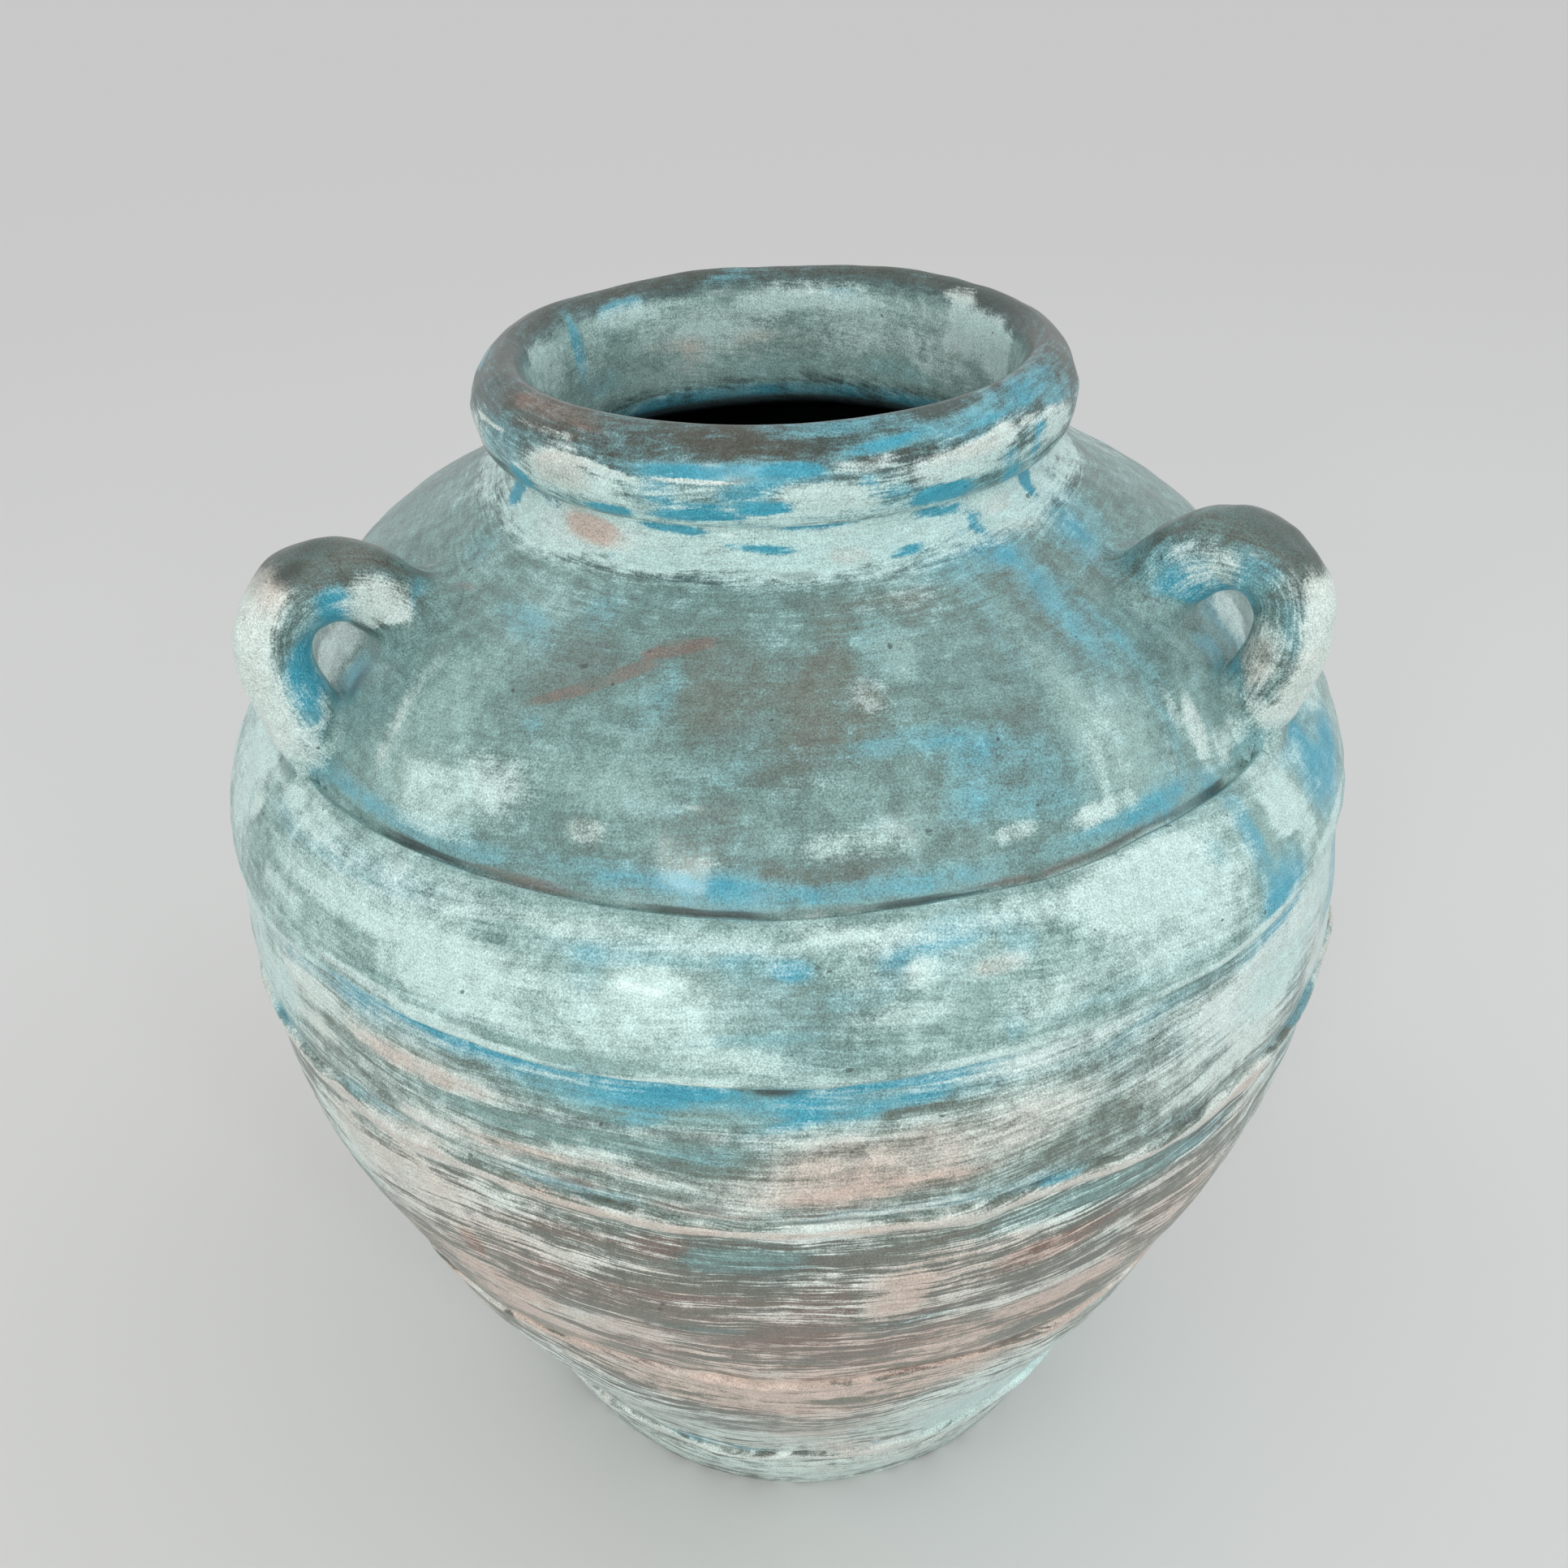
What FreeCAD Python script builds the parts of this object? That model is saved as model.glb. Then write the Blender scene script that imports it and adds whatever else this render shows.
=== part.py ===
import FreeCAD, Part
import math
import os

# A greek pithos: a wide-bellied earthenware storage jar, open at the top, in millimetres.
# Z is the potter's wheel axis, and z = 0 is the surface that the jar stands on.
# The potter built it in stages: a base slab, rings of wall luted to each other at sloping
# seams, strips of clay pressed over three of the seams, a neck, a rolled rim and
# three looped handles. Each of those pieces is one solid, and its seams touch face to face.

# the walls and the flat foot
wall_thickness = 12.5
slab_thickness = 14.0
foot_radius = 156.4
foot_wall_thickness = 12.9

# how far each ring rises from its lower seam to its upper one, and how far its outer edge
# flares out or draws in on the way
foot_ring_rise = 52.0
foot_ring_flare = 18.2
lower_wall_rise = 140.0
lower_wall_flare = 60.2
middle_wall_rise = 140.0
middle_wall_flare = 36.6
upper_wall_rise = 72.5
upper_wall_draw_in = 4.8
belly_band_rise = 52.5
belly_band_draw_in = 30.6
shoulder_rise = 85.4

# how far each ring swells out from the straight line between its seams
foot_ring_swell = 0.8
lower_wall_swell = 3.0
middle_wall_swell = 8.0
upper_wall_swell = 3.4
belly_band_swell = 6.5
shoulder_swell = 11.5

# how far the wall's normal leans up (or down, where negative) at each seam
foot_seam_lean_degrees = -21.0
lower_seam_lean_degrees = -20.0
middle_seam_lean_degrees = -5.0
belly_seam_lean_degrees = 5.0
groove_lean_degrees = 44.0
neck_seam_lean_degrees = 59.0

# the belly band stands proud of its neighbours at both edges
band_lower_overhang = 3.2
band_upper_lip = 5.0

# the clay strips pressed over the foot, lower and middle seams
strip_half_width = 7.0
strip_height = 3.2
strip_sink = 2.4

# the neck, which hangs a little into the jar, and the rolled rim
mouth_radius = 107.0
neck_wall_thickness = 14.0
neck_spread = 17.0
neck_rise = 18.6
neck_skirt = 11.4
neck_hollow = 2.6
rim_roll_width = 26.9
rim_roll_height = 41.8
rim_tuck = 2.8

# the looped handles: thick rolled coils that stand on the shoulder
left_azimuth_degrees = -150.0
right_azimuth_degrees = -30.0
back_azimuth_degrees = 90.0
coil_radius = 17.5
loop_hole_radius = 9.5
bend_out = 14.5
bend_up = 9.0
lower_root_up = 13.0
root_gap = 10.0
root_sink = 12.0
root_flare_spread = 6.5
root_flare_tuck = 1.5
root_flare_length = 30.0


def point(radius, height):
    """A point of the outline, in the plane y = 0."""
    return FreeCAD.Vector(radius, 0, height)


def lean_vector(lean_degrees):
    """The unit vector square to the wall, pointing out of the jar."""
    lean = math.radians(lean_degrees)
    return FreeCAD.Vector(math.cos(lean), 0, math.sin(lean))


def swollen_arc(start, end, swell):
    """An arc from start to end whose middle stands out from the chord by swell."""
    along = (end - start).normalize()
    outward = FreeCAD.Vector(along.z, 0, -along.x)
    middle = (start + end) / 2 + outward * swell
    return Part.Arc(start, middle, end)


def line(start, end):
    """A straight edge of an outline."""
    return Part.LineSegment(start, end).toShape()


def section(edges):
    """The flat face inside a closed outline of edges."""
    return Part.Face(Part.Wire(edges))


def revolve(face):
    """The solid that a section makes about the jar's axis."""
    return face.revolve(FreeCAD.Vector(0, 0, 0), FreeCAD.Vector(0, 0, 1), 360)


class Seam:
    """The sloping face on which one ring of wall is luted to the next."""

    def __init__(self, height, radius, lean_degrees):
        self.height = height
        self.radius = radius
        self.outward = lean_vector(lean_degrees)
        self.outer = point(radius, height)
        self.inner = self.outer - self.outward * wall_thickness

    def proud(self, distance):
        """The point that stands out from the seam's outer edge by the distance."""
        return self.outer + self.outward * distance


def seam_above(below, rise, spread, lean_degrees):
    """The seam at the top of a ring that rises and spreads from the seam below."""
    return Seam(below.height + rise, below.radius + spread, lean_degrees)


foot_seam = Seam(foot_ring_rise, foot_radius + foot_ring_flare, foot_seam_lean_degrees)
lower_seam = seam_above(foot_seam, lower_wall_rise, lower_wall_flare, lower_seam_lean_degrees)
middle_seam = seam_above(lower_seam, middle_wall_rise, middle_wall_flare, middle_seam_lean_degrees)
belly_seam = seam_above(middle_seam, upper_wall_rise, -upper_wall_draw_in, belly_seam_lean_degrees)
groove = seam_above(belly_seam, belly_band_rise, -belly_band_draw_in, groove_lean_degrees)

slab_radius = foot_radius - foot_wall_thickness
neck_top_radius = mouth_radius + neck_wall_thickness
neck_seam_radius = neck_top_radius + neck_spread
neck_seam = Seam(groove.height + shoulder_rise, neck_seam_radius, neck_seam_lean_degrees)
rim_seat_height = neck_seam.height + neck_rise
bend_radius = coil_radius + loop_hole_radius
upper_root_up = lower_root_up + 2 * bend_radius + root_gap


def base_slab():
    """The flat disc of clay that closes the foot."""
    return Part.makeCylinder(slab_radius, slab_thickness)


def foot_section():
    """The lowest ring of wall, which stands round the slab."""
    slab_edge = point(slab_radius, slab_thickness)
    slab_foot = point(slab_radius, 0)
    foot_edge = point(foot_radius, 0)
    return section([
        swollen_arc(foot_edge, foot_seam.outer, foot_ring_swell).toShape(),
        line(foot_seam.outer, foot_seam.inner),
        swollen_arc(slab_edge, foot_seam.inner, foot_ring_swell).toShape(),
        line(slab_edge, slab_foot),
        line(slab_foot, foot_edge),
    ])


def wall_section(below, above, swell, below_proud=0.0, above_proud=0.0):
    """A ring of wall between two seams; its outer edges may stand proud of them."""
    outer_foot = below.proud(below_proud)
    outer_top = above.proud(above_proud)
    return section([
        swollen_arc(outer_foot, outer_top, swell).toShape(),
        line(outer_top, above.inner),
        swollen_arc(below.inner, above.inner, swell).toShape(),
        line(below.inner, outer_foot),
    ])


def core_section(below, above, swell, below_proud=0.0, above_proud=0.0):
    """The same ring filled to the axis, for cutting what stands on the wall."""
    outer_foot = below.proud(below_proud)
    outer_top = above.proud(above_proud)
    top_centre = point(0, above.inner.z)
    foot_centre = point(0, below.inner.z)
    return section([
        swollen_arc(outer_foot, outer_top, swell).toShape(),
        line(outer_top, above.inner),
        line(above.inner, top_centre),
        line(top_centre, foot_centre),
        line(foot_centre, below.inner),
        line(below.inner, outer_foot),
    ])


def strip_section(seam, wall_below, wall_above):
    """A low strip of clay pressed over a seam, cut to the walls that it lies on."""
    along = FreeCAD.Vector(-seam.outward.z, 0, seam.outward.x)
    sunk = seam.proud(-strip_sink)
    strip_foot = sunk - along * strip_half_width
    strip_top = sunk + along * strip_half_width
    crest = Part.Arc(strip_foot, seam.proud(strip_height), strip_top)
    whole = section([crest.toShape(), line(strip_top, strip_foot)])
    return whole.cut(wall_below.fuse(wall_above)).Faces[0]


def neck_section():
    """The short neck, hollow outside, which stands in the shoulder's mouth."""
    outer_top = point(neck_top_radius, rim_seat_height)
    inner_top = point(mouth_radius, rim_seat_height)
    inner_foot = point(mouth_radius, neck_seam.height - neck_skirt)
    return section([
        swollen_arc(neck_seam.outer, outer_top, -neck_hollow).toShape(),
        line(outer_top, inner_top),
        line(inner_top, inner_foot),
        line(inner_foot, neck_seam.inner),
        line(neck_seam.inner, neck_seam.outer),
    ])


def rim_section():
    """The thick roll of clay round the mouth: half an oval above, tucked in below outside."""
    half_width = rim_roll_width / 2
    half_height = rim_roll_height / 2
    drop = half_height - rim_tuck
    centre = point(mouth_radius + half_width, rim_seat_height + drop)
    seat_reach = half_width * math.sqrt(1 - (drop / half_height) ** 2)
    crown = point(centre.x, centre.z + half_height)
    oval = Part.Ellipse(crown, point(centre.x + half_width, centre.z), centre)
    inner_side = point(mouth_radius, centre.z)
    crease = point(centre.x + seat_reach, rim_seat_height)
    from_inner = oval.parameter(inner_side)
    to_crease = oval.parameter(crease)
    seat_inner = point(mouth_radius, rim_seat_height)
    return section([
        Part.ArcOfEllipse(oval, from_inner, to_crease).toShape(),
        line(crease, seat_inner),
        line(seat_inner, inner_side),
    ])


def tangent_point(outside, centre, radius, side):
    """Where the line from outside touches the circle; side is 1 or -1."""
    reach = centre - outside
    distance = reach.Length
    swing = side * math.asin(radius / distance)
    along = reach.normalize() * math.sqrt(distance * distance - radius * radius)
    return outside + point(
        along.x * math.cos(swing) - along.z * math.sin(swing),
        along.x * math.sin(swing) + along.z * math.cos(swing),
    )


def shoulder_place(distance_up):
    """The point on the shoulder's outer arc that lies this far up from the groove, and its normal."""
    arc = swollen_arc(groove.outer, neck_seam.outer, shoulder_swell)
    length = arc.length()
    parameter = arc.FirstParameter + (arc.LastParameter - arc.FirstParameter) * distance_up / length
    along = arc.tangent(parameter)[0]
    if along.z < 0:
        along = along * -1
    return arc.value(parameter), FreeCAD.Vector(along.z, 0, -along.x)


def root_flare(root, towards):
    """The clay smeared round a handle's root: a cone that narrows into the coil."""
    wide = coil_radius + root_flare_spread
    narrow = coil_radius - root_flare_tuck
    return Part.makeCone(wide, narrow, root_flare_length, root, towards - root)


def handle(shoulder_core, band_core):
    """A looped coil in the plane y = 0, cut flush where it stands on the jar."""
    lower_place, lower_normal = shoulder_place(lower_root_up)
    upper_place, upper_normal = shoulder_place(upper_root_up)
    up_chord = (upper_place - lower_place).normalize()
    out_chord = FreeCAD.Vector(up_chord.z, 0, -up_chord.x)
    centre = (lower_place + upper_place) / 2 + out_chord * bend_out + up_chord * bend_up
    lower_root = lower_place - lower_normal * root_sink
    upper_root = upper_place - upper_normal * root_sink
    lower_touch = tangent_point(lower_root, centre, bend_radius, -1)
    upper_touch = tangent_point(upper_root, centre, bend_radius, 1)
    crown = centre + (lower_touch + upper_touch - centre * 2).normalize() * bend_radius
    route = Part.Wire([
        line(lower_root, lower_touch),
        Part.Arc(lower_touch, crown, upper_touch).toShape(),
        line(upper_touch, upper_root),
    ])
    circle = Part.Wire(Part.makeCircle(coil_radius, lower_root, lower_touch - lower_root))
    coil = route.makePipeShell([circle], True, False)
    flares = [root_flare(lower_root, lower_touch), root_flare(upper_root, upper_touch)]
    return coil.fuse(flares).cut(shoulder_core).cut(band_core).removeSplitter()


def build():
    """Every piece of the jar, by the name of its node."""
    band_edges = {"below_proud": band_lower_overhang, "above_proud": band_upper_lip}
    sections = {
        "foot_ring": foot_section(),
        "lower_wall": wall_section(foot_seam, lower_seam, lower_wall_swell),
        "middle_wall": wall_section(lower_seam, middle_seam, middle_wall_swell),
        "upper_wall": wall_section(middle_seam, belly_seam, upper_wall_swell),
        "belly_band": wall_section(belly_seam, groove, belly_band_swell, **band_edges),
        "shoulder_dome": wall_section(groove, neck_seam, shoulder_swell),
        "neck_collar": neck_section(),
        "rim_roll": rim_section(),
    }
    foot_pair = sections["foot_ring"], sections["lower_wall"]
    lower_pair = sections["lower_wall"], sections["middle_wall"]
    middle_pair = sections["middle_wall"], sections["upper_wall"]
    sections["foot_seam_strip"] = strip_section(foot_seam, *foot_pair)
    sections["lower_seam_strip"] = strip_section(lower_seam, *lower_pair)
    sections["middle_seam_strip"] = strip_section(middle_seam, *middle_pair)
    pieces = {"base_slab": base_slab()}
    for name, outline in sections.items():
        pieces[name] = revolve(outline)
    shoulder_core = revolve(core_section(groove, neck_seam, shoulder_swell))
    band_core = revolve(core_section(belly_seam, groove, belly_band_swell, **band_edges))
    azimuths = {
        "handle_left": left_azimuth_degrees,
        "handle_right": right_azimuth_degrees,
        "handle_back": back_azimuth_degrees,
    }
    for name, azimuth in azimuths.items():
        looped = handle(shoulder_core, band_core)
        looped.rotate(FreeCAD.Vector(0, 0, 0), FreeCAD.Vector(0, 0, 1), azimuth)
        pieces[name] = looped
    return pieces


os.makedirs("parts", exist_ok=True)
for node, shape in build().items():
    print(node, shape.isValid(), len(shape.Solids), round(shape.Volume))
    shape.exportStep("parts/" + node + ".step")
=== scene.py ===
"""A greek pithos: a wide storage jar of painted earthenware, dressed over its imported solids.

Lengths are in millimetres until a mesh is finished, and are then brought to metres. An azimuth is
an angle in degrees round the jar, 0 at its front and positive towards +X. A height on the outside
is the height above the floor, and over the rim's top it goes on down the inside, so the
inner wall of the neck lies between 600 and 670.
"""

import logging
import math
import random
from collections.abc import Sequence
from dataclasses import dataclass, replace
from enum import Enum
from typing import Any

import bmesh
import bpy
import numpy as np
from mathutils import Matrix, Vector


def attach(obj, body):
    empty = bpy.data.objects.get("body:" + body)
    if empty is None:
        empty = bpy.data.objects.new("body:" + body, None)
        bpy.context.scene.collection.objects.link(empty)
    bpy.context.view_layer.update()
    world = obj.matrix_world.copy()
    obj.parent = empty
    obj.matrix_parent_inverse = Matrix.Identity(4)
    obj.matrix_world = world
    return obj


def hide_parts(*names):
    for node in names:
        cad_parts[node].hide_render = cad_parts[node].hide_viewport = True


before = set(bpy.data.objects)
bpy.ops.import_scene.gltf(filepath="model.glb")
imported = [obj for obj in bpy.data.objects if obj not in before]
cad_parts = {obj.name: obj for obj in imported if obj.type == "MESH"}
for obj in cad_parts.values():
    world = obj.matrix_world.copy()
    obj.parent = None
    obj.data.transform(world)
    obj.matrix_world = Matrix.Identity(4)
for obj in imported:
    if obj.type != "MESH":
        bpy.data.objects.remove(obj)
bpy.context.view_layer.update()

log = logging.getLogger("pithos")

Pair = tuple[float, float]
METRE = 1000.0
JAR_HEIGHT = 600.0
# Past this angle, in degrees, an edge stays crisp.
CREASE_ANGLE = 38.0
# A stroke's outline is between an ellipse, at 2, and a rectangle.
SQUARENESS = 2.6


class Slot(Enum):
    """The record's material slots."""

    UPPER = "upper_clay"
    LOWER = "lower_clay"
    SEAM = "seam_clay"
    RIM = "rim_clay"
    HANDLE = "handle_clay"
    BASE = "base_clay"


class Coat(Enum):
    """What a brush stroke lays on or wipes off, by its place in the paint attributes; the dark coat is
    painted shade and dark lines, and the hollow's coat is painted shade.
    """

    BLUE = 0
    WHITE = 1
    BROWN = 2
    # Painted shade in creases, under lips and beside the handles' roots, and dark lines.
    DARK = 3
    STREAK = 4
    WARM = 5
    # Painted shade: the jar's hollow, darkened to near black.
    HOLLOW_SHADE = 6
    AQUA = 7


def srgb(code: str) -> tuple[float, float, float, float]:
    """A colour as the shaders take it.

    Args:
        code: six hexadecimal digits, as a paint chart gives them.

    Returns:
        The linear red, green and blue, and a full alpha.
    """
    parts = [int(code[at : at + 2], 16) / 255 for at in (0, 2, 4)]
    linear = [part / 12.92 if part <= 0.04045 else ((part + 0.055) / 1.055) ** 2.4 for part in parts]
    return linear[0], linear[1], linear[2], 1.0


def smooth_line(points: Sequence[Pair], spacing: float) -> np.ndarray:
    """Draw one smooth line through given points.

    Args:
        points: the points that the line passes through, in order.
        spacing: the distance between the line's own points.

    Returns:
        The line's points, one row each.
    """
    knots = np.array(points, float)
    gaps = np.linalg.norm(np.diff(knots, axis=0), axis=1)
    reached = np.concatenate([[0.0], np.cumsum(gaps)])
    runs = np.diff(knots, axis=0) / gaps[:, None]
    slopes = np.empty_like(knots)
    slopes[0] = runs[0]
    slopes[-1] = runs[-1]
    before = gaps[:-1, None]
    after = gaps[1:, None]
    slopes[1:-1] = (runs[1:] * before + runs[:-1] * after) / (before + after)
    wanted = np.linspace(0, reached[-1], max(2, round(reached[-1] / spacing) + 1))
    place = np.clip(np.searchsorted(reached, wanted, side="right") - 1, 0, len(gaps) - 1)
    gap = gaps[place][:, None]
    share = ((wanted - reached[place]) / gaps[place])[:, None]
    return (
        knots[place] * (1 + 2 * share) * (1 - share) ** 2
        + slopes[place] * gap * share * (1 - share) ** 2
        + knots[place + 1] * share**2 * (3 - 2 * share)
        + slopes[place + 1] * gap * share**2 * (share - 1)
    )


def eased(values: np.ndarray, low: float, high: float) -> np.ndarray:
    """Each value's smooth share of the way from low to high, from 0 to 1."""
    share = np.clip((values - low) / (high - low), 0, 1)
    return share * share * (3 - 2 * share)


def azimuths(places: np.ndarray) -> np.ndarray:
    """Each place's angle round the jar in degrees, from 0 at the front."""
    return np.degrees(np.arctan2(places[:, 0], -places[:, 1]))


@dataclass(frozen=True)
class Ripple:
    """A smooth unevenness in space, made of seeded waves.

    Args:
        size: how long its waves are.
        depth: how far it reaches to either side.
        seed: what the waves are drawn from.
        waves: how many waves are laid over each other.
    """

    size: float
    depth: float
    seed: int
    waves: int = 18

    def at(self, places: np.ndarray) -> np.ndarray:
        """The unevenness at each place.

        Args:
            places: points, one row each.

        Returns:
            One number for each place, mostly within the depth.
        """
        draw = random.Random(self.seed)
        total = np.zeros(len(places))
        for _ in range(self.waves):
            way = Vector([draw.gauss(0, 1) for _ in range(3)]).normalized()
            length = self.size * draw.uniform(0.7, 1.5)
            total += np.sin(places @ np.array(way) * (2 * math.pi / length) + draw.uniform(0, 2 * math.pi))
        return total * self.depth * math.sqrt(2 / self.waves) * 0.6


@dataclass(frozen=True)
class Seam:
    """A line round the jar where two rings meet, which wanders as hand work does.

    Args:
        height: its height where it doesn't wander.
        radius: the wall's outer radius there.
        lean: the angle of the wall's normal above level, in degrees.
        wander: pairs of an azimuth and how far the seam is off its height there.
        reach: how far above and below it the wall wanders with it.
    """

    height: float
    radius: float
    lean: float
    wander: Sequence[Pair] = ()
    reach: float = 36.0

    def off(self, around: np.ndarray) -> np.ndarray:
        """How far the seam is off its height at each azimuth.

        Args:
            around: azimuths in degrees.

        Returns:
            The offset of each.
        """
        if not self.wander:
            return np.zeros(len(around))
        angles = [angle for angle, _ in self.wander]
        offsets = [offset for _, offset in self.wander]
        laid_angles = [angle - 360 for angle in angles] + angles + [angle + 360 for angle in angles]
        fine = np.linspace(-200, 200, 401)
        rough = np.interp(fine, laid_angles, offsets * 3)
        blur = np.hanning(9)
        rounded = np.convolve(np.pad(rough, 4, mode="edge"), blur / blur.sum(), mode="valid")
        return np.interp(around, fine, rounded)

    def above(self, around: np.ndarray, heights: np.ndarray) -> np.ndarray:
        """How far each height lies above the wandering seam."""
        return heights - self.height - self.off(around)


FOOT_SEAM = Seam(52, 174.6, -21)
LOWER_SEAM = Seam(
    192, 234.8, -20,
    ((-60, 1), (-8, 0.5), (-4, -3), (1, -2.5), (9, 0), (20, -0.5), (60, 1.5)),
)
MIDDLE_SEAM = Seam(
    332, 271.4, -5,
    ((-70, 3), (-42, 6.5), (-31, 5.5), (-20, 2), (-9, 1), (1, -1.5), (18, -1), (40, -3), (52, -6.5)),
)
BELLY_SEAM = Seam(
    404.5, 266.6, 5,
    ((-55, -3), (-39, -0.5), (-26, 1.5), (-12, -0.5), (-2, -2), (18, 0), (42, 4), (53, 4)),
)
GROOVE = Seam(
    457, 236, 44,
    ((-70, -3), (-51, 1), (-20, 0.5), (-2, -2), (9, 0.5), (24, -1), (34, 0.5), (53, -1.5)),
)
SEAMS = (FOOT_SEAM, LOWER_SEAM, MIDDLE_SEAM, BELLY_SEAM, GROOVE)


@dataclass(frozen=True)
class Hand:
    """The potter's hand: the same unevenness moves every piece, so neighbours still meet.

    Args:
        broad: the wide dents and swellings.
        narrow: the fingers' finer ones.
        even_foot: the height by which the unevenness has grown from nothing at the floor.
        leaning: the heights between which the top comes to rise and sink as well.
        axis_core: the radius within which the push no longer grows weaker.
    """

    broad: Ripple = Ripple(size=95, depth=1.0, seed=11)
    narrow: Ripple = Ripple(size=26, depth=0.3, seed=12)
    even_foot: float = 40
    leaning: Pair = (420, 520)
    axis_core: float = 60

    def shaped(self, places: np.ndarray) -> np.ndarray:
        """Move places as the hand would have.

        Args:
            places: points of the even jar, one row each.

        Returns:
            The moved points.
        """
        around = azimuths(places)
        moved = places.copy()
        for seam in SEAMS:
            nearness = 1 - eased(np.abs(places[:, 2] - seam.height), 0, seam.reach)
            moved[:, 2] += seam.off(around) * nearness
        radii = np.hypot(places[:, 0], places[:, 1])
        push = self.broad.at(places) + self.narrow.at(places)
        push *= eased(places[:, 2], 0, self.even_foot)
        moved[:, :2] *= (1 + push / np.maximum(radii, self.axis_core))[:, None]
        moved[:, 2] += 0.5 * push * eased(places[:, 2], *self.leaning)
        return moved


HAND = Hand()


@dataclass(frozen=True)
class Stroke:
    """One patch that the brush laid on, or wiped off where its strength is below 0; some patches are
    painted shade and some painted highlights.

    Args:
        coat: what it lays on.
        azimuth: where its middle is round the jar.
        height: how high its middle is.
        width: half its width, along the surface.
        tall: half its height.
        strength: how much it lays on; 1 covers.
        tilt: how far its right end rises, in degrees.
    """

    coat: Coat
    azimuth: float
    height: float
    width: float
    tall: float
    strength: float = 1.0
    tilt: float = 0.0

    def lay(self, coats: np.ndarray, around: np.ndarray, heights: np.ndarray, radii: np.ndarray) -> None:
        """Add this stroke to a piece's coats.

        Args:
            coats: the piece's coats, a row for each vertex, changed in place.
            around: each vertex's azimuth.
            heights: each vertex's height, as strokes count it.
            radii: each vertex's distance from the jar's axis.
        """
        lean = math.radians(self.tilt)
        reach = 1.4 * (self.tall + self.width * abs(math.sin(lean)))
        near = np.flatnonzero(np.abs(heights - self.height) < reach)
        across = (np.mod(around[near] - self.azimuth + 180, 360) - 180) * (math.pi / 180) * radii[near]
        up = heights[near] - self.height
        along = (across * math.cos(lean) + up * math.sin(lean)) / self.width
        over = (up * math.cos(lean) - across * math.sin(lean)) / self.tall
        away = (np.abs(along) ** SQUARENESS + np.abs(over) ** SQUARENESS) ** (1 / SQUARENESS)
        nearness = 1 - eased(away, 0.45, 1.35)
        coats[near, self.coat.value] += self.strength * nearness


@dataclass(frozen=True)
class SeamPaint:
    """Paint that gathers along a seam, or is wiped off beside it; with the dark coat it is painted shade
    along the seam.

    Args:
        seam: the seam it follows.
        coat: what gathers.
        offset: how far above the seam its middle is.
        tall: half its height.
        strength: how much gathers.
        patchy: from 0, even, to 1, come and gone along the seam.
        seed: what its patches are drawn from.
        widest: how far from the axis it lies at most.
    """

    seam: Seam
    coat: Coat
    offset: float
    tall: float
    strength: float
    patchy: float = 0.5
    seed: int = 1
    widest: float = 1000.0

    def lay(self, coats: np.ndarray, around: np.ndarray, heights: np.ndarray, radii: np.ndarray) -> None:
        """Add this paint to a piece's coats, as Stroke.lay does."""
        all_round = np.linspace(-math.pi, math.pi, 721)
        ring = np.stack([np.cos(all_round) * 250, np.sin(all_round) * 250, np.zeros(721)], axis=1)
        angles = np.radians(around)
        come = 1 - self.patchy * eased(Ripple(70, 1, self.seed).at(ring), -0.7, 0.7)
        come = np.interp(angles, all_round, come)
        thick = np.interp(angles, all_round, 1 + 0.5 * Ripple(55, 1, self.seed + 50).at(ring))
        up = (self.seam.above(around, heights) - self.offset) / (self.tall * np.clip(thick, 0.4, 2))
        within = 1 - eased(radii, self.widest - 1.0, self.widest + 0.6)
        coats[:, self.coat.value] += self.strength * come * within * (1 - eased(np.abs(up), 0.3, 1.3))


class Wire:
    """A shader socket that can be reckoned with: each operator adds its Math node."""

    def __init__(self, shader: "Shader", socket: bpy.types.NodeSocket) -> None:
        """Wrap a socket.

        Args:
            shader: the material the socket belongs to.
            socket: the output to reckon with.
        """
        self.shader = shader
        self.socket = socket

    def reckon(self, operation: str, *others: Any) -> "Wire":
        """One Math node on this value and others."""
        inputs = dict(enumerate((self, *others)))
        return self.shader.node("ShaderNodeMath", {"operation": operation}, inputs)

    def __add__(self, other: Any) -> "Wire":
        """This plus other."""
        return self.reckon("ADD", other)

    __radd__ = __add__

    def __sub__(self, other: Any) -> "Wire":
        """This less other."""
        return self.reckon("SUBTRACT", other)

    def __rsub__(self, other: Any) -> "Wire":
        """Other less this."""
        return self.shader.node("ShaderNodeMath", {"operation": "SUBTRACT"}, {0: other, 1: self})

    def __mul__(self, other: Any) -> "Wire":
        """This times other."""
        return self.reckon("MULTIPLY", other)

    __rmul__ = __mul__

    def eased(self, low: float, high: float) -> "Wire":
        """The smooth share of the way from low to high."""
        settings = {"interpolation_type": "SMOOTHSTEP"}
        inputs = {"Value": self, "From Min": low, "From Max": high}
        return self.shader.node("ShaderNodeMapRange", settings, inputs)

    def held(self) -> "Wire":
        """This value, held between 0 and 1."""
        return self.shader.node("ShaderNodeClamp", {}, {"Value": self})


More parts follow.
